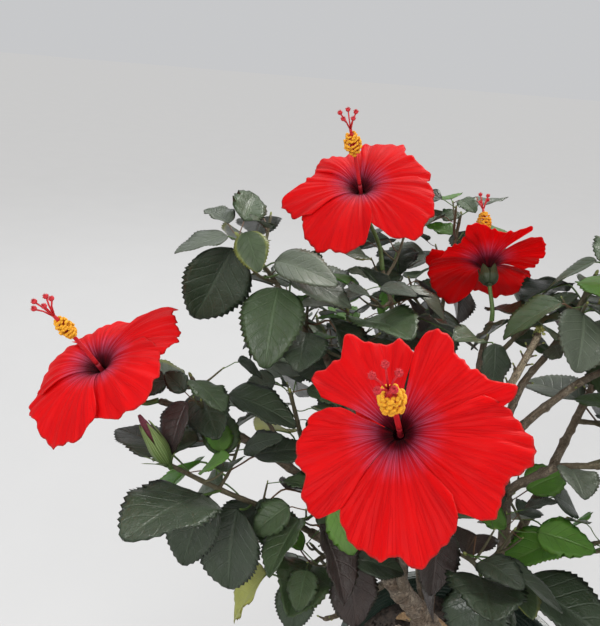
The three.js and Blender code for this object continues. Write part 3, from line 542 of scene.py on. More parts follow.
class Space:
    """Points that are taken, with the room kept round each and the piece that owns it."""

    def __init__(self):
        self.points = np.empty((0, 3))
        self.room = np.empty(0)
        self.owner = np.empty(0, dtype=object)

    def take(self, points, room, owner=None):
        points = np.atleast_2d(points)
        self.points = np.vstack([self.points, points])
        self.room = np.append(self.room, np.broadcast_to(room, len(points)))
        self.owner = np.append(self.owner, np.full(len(points), owner, dtype=object))

    def is_free(self, points, owner=None, ease=1.0):
        """ease below 1 lets small shapes come nearer than the full room."""
        ring = np.hypot(points[:, 0], points[:, 1])
        if np.any((ring < POT_RIM + ROOM["leaf"]) & (points[:, 2] < ROOM["rim_top"])):
            return False
        middle = points.mean(axis=0)
        span = np.linalg.norm(points - middle, axis=1).max() + LOOK_AROUND
        near = np.linalg.norm(self.points - middle, axis=1) < span
        if owner is not None:
            near &= self.owner != owner
        gaps = np.linalg.norm(points[:, None] - self.points[near][None], axis=2)
        return not np.any(gaps < self.room[near] * ease)


space = Space()
for limb_name, (path, root, tip) in LIMBS.items():
    centres = points_along(path, SPACING["limb"])
    steps = np.arange(len(centres)) / (len(centres) - 1)
    space.take(centres, limb_radius(limb_name, steps) + ROOM["limb"], limb_name)
print("points on limbs:", len(space.points))

# %% [markdown]
# ## The shape of a petal
#
# Five petals stand round a throat. Each covers an angle, overlaps its neighbour and has its own outer edge.
# Looked at from the side they sink into a funnel at the throat, climb and bend back. One formula gives a
# point of any petal, here to keep leaves away from it. The sheets that are modelled later start from the
# same height over the bloom's own plane.

# %% Bloom frame and petal points
PETAL_SAMPLES = {"across": np.arange(9) / 8, "outward": (0.3, 0.45, 0.6, 0.75, 0.9, 1)}


def bloom_frame(bloom):
    facing = unit(bloom["facing"])
    across = np.array([1.0, 0, 0])
    across = unit(across - facing * (across @ facing))
    return np.array(bloom["at"], float), facing, across, np.cross(facing, across)


def calyx_foot(bloom):
    """Where the flower's stalk ends and its calyx begins."""
    at, facing, *_ = bloom_frame(bloom)
    return at - facing * (BLOOM["throat"] + BLOOM["calyx"])


def petal_height(bloom, droop, radius):
    s = radius / BLOOM["petal"]
    return (bloom["rise"] * s - (bloom["curl"] + droop) * s ** 3
            - BLOOM["throat"] * np.exp(-radius / BLOOM["funnel"]))


def on_bloom(bloom, turn, radius, height):
    """Points round the throat, at an angle, a radius and a height over the bloom's plane."""
    at, facing, across, above_throat = bloom_frame(bloom)
    return (at + across * (np.cos(turn) * radius)[..., None]
            + above_throat * (np.sin(turn) * radius)[..., None] + facing * height[..., None])


def petal_point(bloom, petal, f, s):
    """f runs from one side edge to the other, s from the throat to the outer edge."""
    f, s = np.broadcast_arrays(np.asarray(f, float), np.asarray(s, float))
    reach = np.interp(f, np.linspace(0, 1, len(petal[2])), petal[2])
    radius = BLOOM["hole"] + (reach - BLOOM["hole"]) * s
    turn = np.radians(petal[0] + (petal[1] - petal[0]) * f)
    height = petal_height(bloom, petal[3], radius) + BLOOM["lap"] * (f - 0.5) * s
    return on_bloom(bloom, turn, radius, height)


for bloom_name, bloom in BLOOMS.items():
    at = np.array(bloom["at"], float)
    for petal in bloom["petals"]:
        for s in PETAL_SAMPLES["outward"]:
            space.take(petal_point(bloom, petal, PETAL_SAMPLES["across"], s), ROOM["petal"], bloom_name)
    column = [at, at + np.array(bloom["column"])]
    stalk = [*bloom["stalk"], calyx_foot(bloom), at]
    for line in (column, stalk):
        space.take(points_along(line, SPACING["stalk"]), ROOM["petal"], bloom_name)
print("points with blooms:", len(space.points))

# %% [markdown]
# ## Growing twigs and leaves
#
# Every mass has a stem that goes on from its bough. Side shoots stand round it by the golden angle, which
# is how plants spread their shoots to the light, and leaves stand round each shoot by the same angle. The
# seed gives each mass its own small differences. Leaves that stand out in the photograph come first.

# %% A leaf's frame and the points that stand for it
BLADE_SAMPLES = {"along": [0.08, 0.25, 0.42, 0.6, 0.78, 1], "across": [-1, -0.5, 0, 0.5, 1]}
STALK_SAMPLES = (0.25, 0.5, 0.75)


class Leaf:
    """A leaf's frame: where its stalk leaves the twig, its base, the way it points and its upper face."""

    def __init__(self, foot, heading, pitch, roll, length, finish=None):
        self.foot = foot
        self.length = length
        self.finish = finish
        self.along = heading_vector(heading, pitch)
        sideways = np.array([-math.sin(math.radians(heading)), math.cos(math.radians(heading)), 0])
        upright = np.cross(self.along, sideways)
        self.side = sideways * math.cos(math.radians(roll)) + upright * math.sin(math.radians(roll))
        self.upper = np.cross(self.along, self.side)
        stalk = STALK["shortest"] + STALK["share"] * length
        self.base = foot + heading_vector(heading, STALK["rise"]) * stalk


def half_width(a):
    return LEAF["width"] * np.sin(math.pi * np.power(a, LEAF["full"])) * (1 - LEAF["taper"] * a)


def blade_samples(leaf):
    a, w = np.meshgrid(BLADE_SAMPLES["along"], BLADE_SAMPLES["across"], indexing="ij")
    a, w = a.ravel(), w.ravel()
    w = w * half_width(a)
    lift = LEAF["fold"] * np.abs(w) * 2 - LEAF["arch"] * a * a
    return (leaf.base + np.outer(a, leaf.along) * leaf.length + np.outer(w, leaf.side) * leaf.length
            + np.outer(lift, leaf.upper) * leaf.length)


def stalk_samples(leaf):
    return np.array([leaf.foot + (leaf.base - leaf.foot) * t for t in STALK_SAMPLES])


def blocks_view(points):
    """Whether any of the points would hide a bloom from the viewer or fill an opening."""
    kept = [(bloom, CLEAR_TO["bloom"]) for bloom in BLOOMS.values()]
    kept += [(opening, CLEAR_TO["opening"]) for opening in OPENINGS]
    for place, clear_to in kept:
        sight = np.array(place["at"]) - VIEWER
        way = points - VIEWER
        share = way @ sight / (sight @ sight)
        aside = np.linalg.norm(way - share[:, None] * sight, axis=1)
        if np.any((share < clear_to) & (aside < place["open"] * share)):
            return True
    return False


def leaf_fits(mass, name, leaf, ease=1.0):
    """Whether a leaf is near its stem, hides nothing that has to show and has room."""
    blade = blade_samples(leaf)
    to_stem = np.linalg.norm(blade[:, None] - np.array(mass["stem"], float)[None], axis=2)
    if np.any(to_stem.min(axis=1) >= ROOM["reach"] + mass["reach"] / 2) or blocks_view(blade):
        return False
    return space.is_free(blade, ease=ease) and space.is_free(stalk_samples(leaf), name)


# %% Shoots
DRAW_FACTOR = 16807
DRAW_MODULUS = 2147483647
SHOOT = {"first": 0.22, "span": 0.68, "sway": 50, "pitch": 18, "steeper": 34, "shortest": 0.62,
         "longer": 0.38, "bend": 14, "free_from": 0.3, "turns": (0, 70, -70, 140)}
BUD_SAMPLES = (0.3, 0.6, 0.9)


def seeded_draws(seed):
    """The same whole-number rule gives the same draws, from 0 to 1, for the same seed."""
    state = seed

    def draw():
        nonlocal state
        state = (state * DRAW_FACTOR) % DRAW_MODULUS
        return state / DRAW_MODULUS
    return draw


def grow_shoots(mass, name):
    draw = seeded_draws(mass["seed"])
    mass["grown"] = [{"path": mass["stem"], **TWIG["stem"]}]
    for k in range(mass["shoots"]):
        along = SHOOT["first"] + SHOOT["span"] * (k + draw()) / mass["shoots"]
        heading = mass["seed"] + k * GOLDEN_ANGLE + SHOOT["sway"] * (draw() - 0.5)
        pitch = SHOOT["pitch"] + SHOOT["steeper"] * draw()
        length = mass["reach"] * (SHOOT["shortest"] + SHOOT["longer"] * draw())
        foot = curve_points(mass["stem"], along)
        for turn in SHOOT["turns"]:
            middle = foot + heading_vector(heading + turn, pitch - SHOOT["bend"]) * length / 2
            end = middle + heading_vector(heading + turn, pitch + SHOOT["bend"]) * length / 2
            path = [foot, middle, end]
            points = points_along(path, SPACING["shoot"], SHOOT["free_from"])
            if space.is_free(points, name) and not blocks_view(points):
                mass["grown"].append({"path": path, **TWIG["side"]})
                break
    for shoot in mass["grown"]:
        space.take(points_along(shoot["path"], SPACING["shoot"]), ROOM["twig"], name)
    if "bud" in mass:
        space.take(np.array(mass["stem"][-1]) + np.outer(BUD_SAMPLES, mass["bud"]), ROOM["petal"])
    mass["draw"] = draw
    mass["leaves"] = []


for name, mass in MASSES.items():
    grow_shoots(mass, name)
print("stems and shoots:", sum(len(mass["grown"]) for mass in MASSES.values()))

# %% Leaves, those that stand out first
LEAF_RULE = {"first": 0.25, "span": 0.75, "per_shoot": 60, "sway": 40, "lowest": -62, "higher": 66,
             "roll": 60, "longest": 1.08, "shorter": 0.42, "least": 0.86, "more": 0.24,
             "turns": (0, 60, -60, 120, -120)}


def place_leaf(mass, name, leaf):
    if not leaf_fits(mass, name, leaf):
        return False
    space.take(blade_samples(leaf), ROOM["leaf"])
    space.take(stalk_samples(leaf), ROOM["twig"], name)
    mass["leaves"].append(leaf)
    return True


def grow_held_leaves(mass, name):
    for along, heading, pitch, roll, length, finish in mass["held"]:
        foot = curve_points(mass["stem"], along)
        place_leaf(mass, name, Leaf(foot, heading, pitch, roll, length, finish))


def grow_leaves(mass, name):
    draw = mass["draw"]
    rule = LEAF_RULE
    for number, shoot in enumerate(mass["grown"]):
        for j in range(shoot["leaves"]):
            along = rule["first"] + rule["span"] * (j + 0.5) / shoot["leaves"]
            heading = (mass["seed"] * 3 + number * rule["per_shoot"] + j * GOLDEN_ANGLE
                       + rule["sway"] * (draw() - 0.5))
            pitch = rule["lowest"] + rule["higher"] * draw()
            roll = rule["roll"] * (draw() - 0.5)
            length = mass["leaf"] * (rule["longest"] - rule["shorter"] * along)
            length = length * (rule["least"] + rule["more"] * draw())
            foot = curve_points(shoot["path"], along)
            for turn in rule["turns"]:
                if place_leaf(mass, name, Leaf(foot, heading + turn, pitch, roll, length)):
                    break


for name, mass in MASSES.items():
    grow_held_leaves(mass, name)
for name, mass in MASSES.items():
    grow_leaves(mass, name)
print("leaves:", sum(len(mass["leaves"]) for mass in MASSES.values()))

# %% [markdown]
# ## One pile for many small shapes
#
# A shrub has hundreds of leaves, and hundreds of objects would be slow. Each kind of thing is piled into
# one mesh instead: a Pile collects points, faces and the finish of each face, and makes one object at the
# end. Every point also keeps a place, three numbers that say where it is on its own leaf, petal or limb.
# The finishes read that place, so each leaf gets its own veins.

# %% Pile
class Pile:
    """Points and faces of many small shapes that become one mesh."""

    def __init__(self, name, finishes):
        self.name = name
        self.finishes = list(finishes)
        self.points = []
        self.places = []
        self.corners = []
        self.sizes = []
        self.looks = []
        self.count = 0

    def add(self, points, places, faces, finish):
        """faces holds arrays with a row of corners for each face. finish is one name, or one per array."""
        names = [finish] * len(faces) if isinstance(finish, str) else finish
        for rows, look in zip(faces, names):
            self.corners.append((rows + self.count).ravel())
            self.sizes.append(np.full(len(rows), rows.shape[1]))
            self.looks.append(np.full(len(rows), self.finishes.index(look)))
        self.points.append(points)
        self.places.append(places)
        self.count += len(points)

    def make(self, materials):
        mesh = bpy.data.meshes.new(self.name)
        points, places = np.vstack(self.points) * MILLIMETRE, np.vstack(self.places)
        corners, sizes = np.concatenate(self.corners), np.concatenate(self.sizes)
        mesh.vertices.add(len(points))
        mesh.vertices.foreach_set("co", points.ravel())
        mesh.loops.add(len(corners))
        mesh.loops.foreach_set("vertex_index", corners)
        mesh.polygons.add(len(sizes))
        mesh.polygons.foreach_set("loop_start", np.concatenate([[0], np.cumsum(sizes)[:-1]]))
        mesh.polygons.foreach_set("material_index", np.concatenate(self.looks))
        mesh.polygons.foreach_set("use_smooth", np.ones(len(sizes), bool))
        mesh.update(calc_edges=True)
        mesh.attributes.new("place", "FLOAT_VECTOR", "POINT").data.foreach_set("vector", places.ravel())
        for finish in self.finishes:
            mesh.materials.append(materials[finish])
        made = add_object(self.name, mesh)
        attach(made, "root")
        print(self.name, "triangles:", int((sizes - 2).sum()))
        return made


# %% Faces of a tube and of a thin blade
def tube_faces(rings, sides):
    """Quads between rings of points, and a fan over each end, whose middle comes after all the rings."""
    ring, side = np.meshgrid(np.arange(rings - 1), np.arange(sides), indexing="ij")
    near = ring * sides + side
    onward = ring * sides + (side + 1) % sides
    walls = np.stack([near, onward, onward + sides, near + sides], axis=-1).reshape(-1, 4)
    around = np.arange(sides)
    after = (around + 1) % sides
    last = (rings - 1) * sides
    first_end = np.stack([np.full(sides, rings * sides), after, around], axis=-1)
    last_end = np.stack([np.full(sides, rings * sides + 1), last + around, last + after], axis=-1)
    return [walls, np.vstack([first_end, last_end])]


def blade_faces(rows, columns):
    """An upper and a lower sheet of quads that share their edge. The lower sheet's own points come last."""
    upper = np.arange(rows * columns).reshape(rows, columns)
    lower = upper.copy()
    inside = (rows - 2) * (columns - 2)
    lower[1:-1, 1:-1] = rows * columns + np.arange(inside).reshape(rows - 2, columns - 2)

    def quads(grid):
        return np.stack([grid[:-1, :-1], grid[1:, :-1], grid[1:, 1:], grid[:-1, 1:]], axis=-1).reshape(-1, 4)
    return [quads(upper), quads(lower)[:, ::-1]]


BLADE_FACES = {}


def add_blade(pile, grid, thickness, places, finish):
    """A thin closed sheet. grid holds rows of points of its middle, and its edge is sharp."""
    rows, columns = grid.shape[:2]
    if (rows, columns) not in BLADE_FACES:
        BLADE_FACES[rows, columns] = blade_faces(rows, columns)
    normals = unit(np.cross(np.gradient(grid, axis=1), np.gradient(grid, axis=0)) + 1e-12)
    edge = np.zeros((rows, columns, 1))
    edge[1:-1, 1:-1] = 0.5
    upper = grid + normals * edge * thickness
    lower = grid - normals * edge * thickness
    points = np.vstack([upper.reshape(-1, 3), lower[1:-1, 1:-1].reshape(-1, 3)])
    flat = np.vstack([places.reshape(-1, 3), places[1:-1, 1:-1].reshape(-1, 3)])
    pile.add(points, flat, BLADE_FACES[rows, columns], finish)


# %% Tubes along a curve
def carried_frames(centres):
    """Directions along a line of points and two across it that turn with it but don't spin."""
    along = unit(np.gradient(centres, axis=0))
    helper = np.array([0, 0, 1.0]) if abs(along[0][2]) < 0.9 else np.array([1.0, 0, 0])
    across = [unit(np.cross(helper, along[0]))]
    for direction in along[1:]:
        moved = across[-1] - direction * (across[-1] @ direction)
        across.append(unit(moved))
    across = np.array(across)
    return along, across, np.cross(along, across)


def add_tube(pile, centres, radii, sides, finish, shade=0.0):
    """A closed tube. radii holds one radius for each centre, or one for each centre and side."""
    centres = np.asarray(centres, float)
    along, across, third = carried_frames(centres)
    turn = np.arange(sides) * 2 * math.pi / sides
    radii = np.broadcast_to(np.asarray(radii, float).reshape(len(centres), -1), (len(centres), sides))
    ring = (across[:, None] * np.cos(turn)[None, :, None] + third[:, None] * np.sin(turn)[None, :, None])
    points = centres[:, None] + ring * radii[..., None]
    steps = np.linalg.norm(np.diff(centres, axis=0), axis=1)
    travelled = np.concatenate([[0], np.cumsum(steps)])
    shades = np.broadcast_to(shade, len(centres))
    places = np.empty((len(centres), sides, 3))
    places[..., 0] = 1 - np.abs(turn / math.pi - 1)
    places[..., 1] = travelled[:, None]
    places[..., 2] = shades[:, None]
    ends = centres[[0, -1]]
    end_places = np.array([[0, 0, shades[0]], [0, travelled[-1], shades[-1]]])
    pile.add(np.vstack([points.reshape(-1, 3), ends]), np.vstack([places.reshape(-1, 3), end_places]),
             tube_faces(len(centres), sides), finish)


def add_ball(pile, centre, radius, axis, stretch, sides, rings, finish, shade=0.0):
    """A ball, or an egg if stretched along its axis: a tube whose radii follow half a circle."""
    t = np.linspace(0.06, 0.94, rings) * math.pi
    centres = np.asarray(centre) - np.outer(np.cos(t), unit(axis)) * radius * stretch
    add_tube(pile, centres, np.sin(t) * radius, sides, finish, shade)


print("mesh helpers ready")

# %% [markdown]
# ## Bark on the trunk and boughs
#
# Hibiscus wood is grey-brown and knobbly. Every few centimetres a fallen leaf has left a scar with a small
# swelling, the bark splits along the grain, and a collar stands where a bough leaves its carrier. All of
# that is relief in the mesh, one radius for each point round the limb. Cracks and specks finer than that
# come from the finish. The bare stub has dry pale bark and a tuft of young buds at its tip.

# %% Relief of a limb
BARK = {"ring": 1.8, "scar_every": 21, "scar_gaps": (0.6, 1.25), "scar_height": 0.3, "scar_long": 2.6,
        "scar_wide": 0.6, "swelling": 0.13, "wobble": 0.05, "ridge": 0.035, "finer": 0.6, "grit": 0.012,
        "collar": 0.42, "collar_fade": 6, "tip_closed": 0.94}
FULL_TURN = 2 * math.pi


def bark_radii(radii, travelled, sides, rng):
    """Radii with wobble, ridges along the grain, leaf scars and a collar at the root."""
    turn = np.arange(sides)[None] * 2 * math.pi / sides
    along = travelled[:, None]
    phase = rng.uniform(0, FULL_TURN, 4)
    waves = np.sin(along / 8.1 + phase[0]) + BARK["finer"] * np.sin(along / 3.7 + phase[1])
    relief = 1 + BARK["wobble"] * waves
    relief = relief + BARK["ridge"] * np.sin(5 * turn + along / 19 + phase[2])
    relief = relief + BARK["finer"] * BARK["ridge"] * np.sin(9 * turn - along / 11 + phase[3])
    place = rng.uniform(6, BARK["scar_every"])
    number = 0
    while place < travelled[-1]:
        gap = (along - place) / BARK["scar_long"]
        aside = np.angle(np.exp(1j * (turn - math.radians(number * GOLDEN_ANGLE))))
        ring = np.exp(-gap ** 2)
        relief = relief + BARK["swelling"] * ring
        relief = relief + BARK["scar_height"] * ring * np.exp(-(aside / BARK["scar_wide"]) ** 2)
        place += BARK["scar_every"] * rng.uniform(*BARK["scar_gaps"])
        number += 1
    relief = relief + rng.normal(0, BARK["grit"], relief.shape)
    relief = relief * (1 + BARK["collar"] * np.exp(-along / BARK["collar_fade"]))
    return radii[:, None] * relief


def rounded_tip(radii, travelled, blunt):
    """Draws the last stretch of a limb in to a rounded end."""
    left = np.clip((travelled[-1] - travelled) / blunt, 0, 1)
    return radii * np.sqrt(1 - (1 - left) ** 2 * BARK["tip_closed"])


# %% Trunk, boughs and their spurs
bark = Pile("bark", ["old_bark", "spur_bud", "dry_bark", "tuft_bud"])
BARE_SPURS = {"bough_stub": 14, "twig_bare": 3, "twig_rim": 3}
DRY_LIMB = "bough_stub"
SPURS, TUFT_BUDS = 2, 11
PAST_COLLAR = 60


def around(first, second, angle):
    """A direction that turns from first towards second."""
    return first * math.cos(angle) + second * math.sin(angle)


def add_spur(pile, foot, way, length, radius):
    """A short side twig with a bud at its end."""
    end = foot + way * length
    add_tube(pile, [foot, foot + way * length * 0.5, end], [radius * 1.25, radius, radius * 0.8], 7,
             "old_bark", 0.5)
    add_ball(pile, end + way * 1.2, radius * 0.95, way, 1.7, 7, 5, "spur_bud")


for number, (name, (path, root, tip)) in enumerate(LIMBS.items()):
    rng = np.random.default_rng(4000 + number)
    is_trunk, bare = name == "trunk", name in BARE_SPURS
    sides = 30 if is_trunk else 16
    rings = int(path_length(path) / BARK["ring"])
    t = np.linspace(0, 1, rings)
    centres = curve_points(path, t)
    travelled = np.concatenate([[0], np.cumsum(np.linalg.norm(np.diff(centres, axis=0), axis=1))])
    radii = rounded_tip(limb_radius(name, t), travelled, 7 if is_trunk or bare else 2)
    shaped = bark_radii(radii, travelled + (PAST_COLLAR if is_trunk else 0), sides, rng)
    youth = np.clip((6.5 - radii) / 6, 0, 0.6)
    add_tube(bark, centres, shaped, sides, "dry_bark" if name == DRY_LIMB else "old_bark", youth)
    along, across, third = carried_frames(centres)
    for spur in range(BARE_SPURS.get(name, SPURS)):
        place = rng.uniform(0.3, 0.97)
        if bare:
            place = 1 - 0.45 * ((spur + 0.2) / BARE_SPURS[name]) ** 1.6
        k = min(int(place * rings), rings - 2)
        out = around(across[k], third[k], rng.uniform(0, FULL_TURN))
        way = unit(out + along[k] * 0.8)
        size = 0.85 if bare else rng.uniform(0.7, 1.1)
        add_spur(bark, centres[k] + out * radii[k] * 0.8, way, rng.uniform(2.5, 6.5) * size, 1.15 * size)
    for bud in range(TUFT_BUDS if name == DRY_LIMB else 0):
        lean = heading_vector(bud * GOLDEN_ANGLE, rng.uniform(0, 80))
        way = unit(across[-1] * lean[0] + third[-1] * lean[1] + along[-1] * lean[2])
        add_ball(bark, centres[-1] + way * rng.uniform(2.5, 5), 1.5, way, 1.6, 7, 5, "tuft_bud")
print("points on bark:", bark.count)

# %% [markdown]
# ## Leaves
#
# A hibiscus leaf is an egg-shaped blade with a coarse saw edge, folded a little along its midrib, arched
# towards its tip and never quite flat. A grid is laid over the leaf's frame: one direction runs along the
# midrib, the other from edge to edge. The teeth are every second row of the edge pushed out and forward.
# The sheet is closed, with a thin body between its upper and lower face, so the two can differ in colour.

# %% Blade of a leaf
LARGE_LEAF = {"rows": 33, "columns": 11}
SMALL_LEAF = {"rows": 15, "columns": 7}
BLADE = {"thick": 0.55, "full_length": 50, "width": 0.42, "pointed": 0.84, "full": 0.64, "taper": 0.2,
         "narrowest": 0.008, "teeth": 0.05, "tooth_from": 0.2, "tooth_fade": 0.1, "tooth_to": 0.97,
         "notch": -0.55, "tooth_forward": 0.01, "tooth_sizes": (0.7, 1.25), "quilt": 0.013,
         "side_veins": 6.5, "vein_slant": 0.3, "ruffle_power": 2.5}
VARY = {"fold": (-0.05, 0.09), "arch": (-0.07, 0.07), "twist": (-0.4, 0.4), "bend": (-0.05, 0.05),
        "ruffle": (0.02, 0.11), "waves": (1.6, 3.2)}


def outline(a):
    """Half the blade's width: round at its base, widest before its middle, with a short blunt tip."""
    rounded = np.power(np.sin(math.pi * np.power(a, BLADE["pointed"])), BLADE["full"])
    return BLADE["width"] * rounded * (1 - BLADE["taper"] * a)


def places_of(first, second, third):
    """The place of each point of a grid, from values that run along it, across it or are the same."""
    return np.stack(np.broadcast_arrays(first, second, third), axis=-1)


def blade_grid(leaf, rng, rows, columns):
    a = np.linspace(0, 1, rows)[:, None]
    x = np.linspace(-1, 1, columns)[None, :]
    fold, arch, twist, bend, ruffle, waves = (rng.uniform(*limits) for limits in VARY.values())
    phase = rng.uniform(0, FULL_TURN, 2)
    toothed = np.clip((a - BLADE["tooth_from"]) / BLADE["tooth_fade"], 0, 1) * (a < BLADE["tooth_to"])
    tooth = (np.abs(x) > 0.999) * toothed * np.where(np.arange(rows)[:, None] % 2 == 1, 1, BLADE["notch"])
    half = np.maximum(outline(a), BLADE["narrowest"])
    w = x * half * (1 + BLADE["teeth"] * tooth * rng.uniform(*BLADE["tooth_sizes"], (rows, columns)))
    forward = a + BLADE["tooth_forward"] * tooth + 0 * x
    lift = (LEAF["fold"] + fold) * np.abs(w) * 2 - (LEAF["arch"] + arch) * forward ** 2
    wave = np.sin(FULL_TURN * waves * a + np.where(x > 0, *phase))
    lift = lift + ruffle * half * np.abs(x) ** BLADE["ruffle_power"] * wave
    between = np.sin(math.pi * BLADE["side_veins"] * (a - BLADE["vein_slant"] * np.abs(x)))
    lift = lift + BLADE["quilt"] * np.abs(between) * np.sin(math.pi * np.abs(x))
    w, lift = w * np.cos(twist * a), lift + w * np.sin(twist * a)
    w = w + bend * a ** 2
    grid = (leaf.base + forward[..., None] * leaf.along * leaf.length + w[..., None] * leaf.side * leaf.length
            + lift[..., None] * leaf.upper * leaf.length)
    return grid, places_of(a, x, rng.uniform())


# %% A leaf with its stalk and midrib
twigs = Pile("twigs", ["young_bark", "green_stalk", "red_stalk", "spur_bud"])
LOOKS = ("deep", "mid", "dusty", "bright", "maroon", "yellow", "edged")
LEAF_FINISHES = [look + side for look in LOOKS for side in ("_upper", "_lower")]
LEAF_PILES = {side: Pile("leaves_" + side, LEAF_FINISHES) for side in ("left", "right", "back")}
STALK_MESH = {"points": 7, "sag": (-0.08, 0.14), "swelling": 0.5, "swelling_fade": 7, "sides": 5,
              "red_share": 0.3}
MIDRIB = {"points": 9, "reach": 0.9, "tip": 0.22, "more": 0.8, "fade": 0.8, "sunk": 0.75}
STALK_SCALE = {"least": 0.45, "full_length": 75}


def add_leaf(pile, leaf, look, rng, size):
    grid, places = blade_grid(leaf, rng, **size)
    thick = BLADE["thick"] * min(1, leaf.length / BLADE["full_length"])
    add_blade(pile, grid, thick, places, [look + "_upper", look + "_lower"])
    middle = grid[:, grid.shape[1] // 2]
    sag = rng.uniform(*STALK_MESH["sag"])
    reach = np.linspace(0, 1, STALK_MESH["points"])[:, None]
    stalk_length = np.linalg.norm(leaf.base - leaf.foot)
    stalk = leaf.foot + (leaf.base - leaf.foot) * reach
    stalk = stalk + np.array([0, 0, -1]) * (np.sin(math.pi * reach) * stalk_length * sag)
    scale = max(STALK_SCALE["least"], leaf.length / STALK_SCALE["full_length"])
    radii = STALK["root"] + (STALK["tip"] - STALK["root"]) * reach[:, 0]
    swelling = STALK_MESH["swelling"] * np.exp(-reach[:, 0] * STALK_MESH["swelling_fade"])
    radii = (radii + swelling) * scale
    rib_steps = np.linspace(1, int(MIDRIB["reach"] * len(middle)), MIDRIB["points"]).astype(int)
    fade = 1 - np.linspace(0, 1, len(rib_steps)) ** MIDRIB["fade"]
    rib_radii = (MIDRIB["tip"] + MIDRIB["more"] * fade) * scale
    rib = middle[rib_steps] - leaf.upper * (rib_radii * MIDRIB["sunk"])[:, None]
    is_red = look == "maroon" or rng.uniform() < STALK_MESH["red_share"]
    add_tube(twigs, np.vstack([stalk[:-1], rib]), np.concatenate([radii[:-1], rib_radii]),
             STALK_MESH["sides"], "red_stalk" if is_red else "green_stalk", 0.5)


print("finishes for leaves:", len(LEAF_FINISHES))

# %% [markdown]
# ## Twigs, finer twigs and their leaves
#
# The shoots of each mass become twigs with a swelling under each leaf. The solids stop at their larger
# leaves, so the same rule is carried one step further here: short twiglets with small young leaves grow
# where there is still room within the mass's own reach.

# %% Twigs with swellings
TWIG_MESH = {"ring": 2.4, "rings": 8, "swelling": 0.16, "swelling_long": 1.8, "grit": 0.03, "tip": 0.8,
             "sides": 9, "bud": 0.75, "bud_rise": 1.6, "bud_long": 2.1, "bud_sides": 7, "bud_rings": 6}


def add_shoot(shoot, rng, youth):
    """A twig. youth says how young its wood is at its root and at its tip."""
    path, root, tip = shoot["path"], shoot["root"], shoot["tip"]
    rings = max(TWIG_MESH["rings"], int(path_length(path) / TWIG_MESH["ring"]))
    t = np.linspace(0, 1, rings)
    centres = curve_points(path, t)
    places = LEAF_RULE["first"] + LEAF_RULE["span"] * (np.arange(shoot["leaves"]) + 0.5) / shoot["leaves"]
    gaps = (t[:, None] - places[None]) * path_length(path) / TWIG_MESH["swelling_long"]
    swelling = TWIG_MESH["swelling"] * np.exp(-gaps ** 2).sum(axis=1)
    radii = root + (tip * TWIG_MESH["tip"] - root) * t
    radii = radii * (1 + swelling + TWIG_MESH["grit"] * rng.normal(size=rings))
    add_tube(twigs, centres, radii, TWIG_MESH["sides"], "young_bark", youth[0] + (youth[1] - youth[0]) * t)
    way = unit(centres[-1] - centres[-3])
    add_ball(twigs, centres[-1] + way * TWIG_MESH["bud_rise"], tip * TWIG_MESH["bud"], way,
             TWIG_MESH["bud_long"], TWIG_MESH["bud_sides"], TWIG_MESH["bud_rings"], "spur_bud")


# %% Finer twigs and small leaves
SIDES = {"left": ("foliage_upper_left", "foliage_left_mid", "foliage_left_low", "foliage_centre_left",
                  "foliage_low_left", "foliage_centre", "foliage_top_centre"),
         "back": ("foliage_top_back", "foliage_back_left", "foliage_back_low", "foliage_back_right",
                  "foliage_right_back_low")}
LOOK_SHARES = {"deep": 0.44, "mid": 0.24, "dusty": 0.13, "bright": 0.07, "maroon": 0.04, "yellow": 0.01,
               "edged": 0.07}
YOUNG_LOOK_SHARES = {"bright": 0.18, "mid": 0.34, "deep": 0.4, "edged": 0.08}
SMALL = {"share": 0.5, "size": (0.75, 1.3), "sway": (0, 120), "pitch": (-40, 40), "roll": (-30, 30),
         "turns": (0, 75, -75, 150), "room": 0.7, "ease": 0.66}
TWIGLET = {"places": (0.45, 0.8), "reach": 26, "size": (0.6, 1.2), "pitch": (5, 50), "rise": 0.25, "step": 5,
           "free_from": 0.35, "room": 3, "leaves_at": (0.6, 1.0)}
TIP_LEAVES_AT = (1.0, 0.7)
YOUTH = {"stem": (0.35, 0.75), "side": (0.6, 1.0), "twiglet": (0.8, 1.0)}


def side_of(name):
    return next((side for side, members in SIDES.items() if name in members), "right")


def pick(shares, rng):
    return rng.choice(list(shares), p=list(shares.values()))


def grow_small_leaves(mass, name, path, starts, rng):
    """Small leaves along a twig, by the golden angle, where they have room."""
    found = []
    for number, along in enumerate(starts):
        foot = curve_points(path, along)
        length = mass["leaf"] * SMALL["share"] * rng.uniform(*SMALL["size"])
        heading = mass["seed"] + number * GOLDEN_ANGLE + rng.uniform(*SMALL["sway"])
        pitch, roll = rng.uniform(*SMALL["pitch"]), rng.uniform(*SMALL["roll"])
        for turn in SMALL["turns"]:
            leaf = Leaf(foot, heading + turn, pitch, roll, length)
            if leaf_fits(mass, name, leaf, SMALL["ease"]):
                space.take(blade_samples(leaf), ROOM["leaf"] * SMALL["room"])
                found.append(leaf)
                break
    return found


def grow_twiglet(mass, name, foot, rng):
    """A short twig from a place on a shoot, kept only where it has room and bears a leaf."""
    heading = rng.uniform(0, 360)
    reach = TWIGLET["reach"] * rng.uniform(*TWIGLET["size"])
    way = heading_vector(heading, rng.uniform(*TWIGLET["pitch"]))
    path = [foot, foot + way * reach * 0.5, foot + (way + np.array([0, 0, TWIGLET["rise"]])) * reach]
    if not space.is_free(points_along(path, TWIGLET["step"], TWIGLET["free_from"]), name, SMALL["ease"]):
        return []
    found = grow_small_leaves(mass, name, path, TWIGLET["leaves_at"], rng)
    if found:
        add_shoot({"path": path, "root": 1.15, "tip": 0.9, "leaves": 3}, rng, YOUTH["twiglet"])
        space.take(points_along(path, TWIGLET["step"]), TWIGLET["room"], name)
    return found


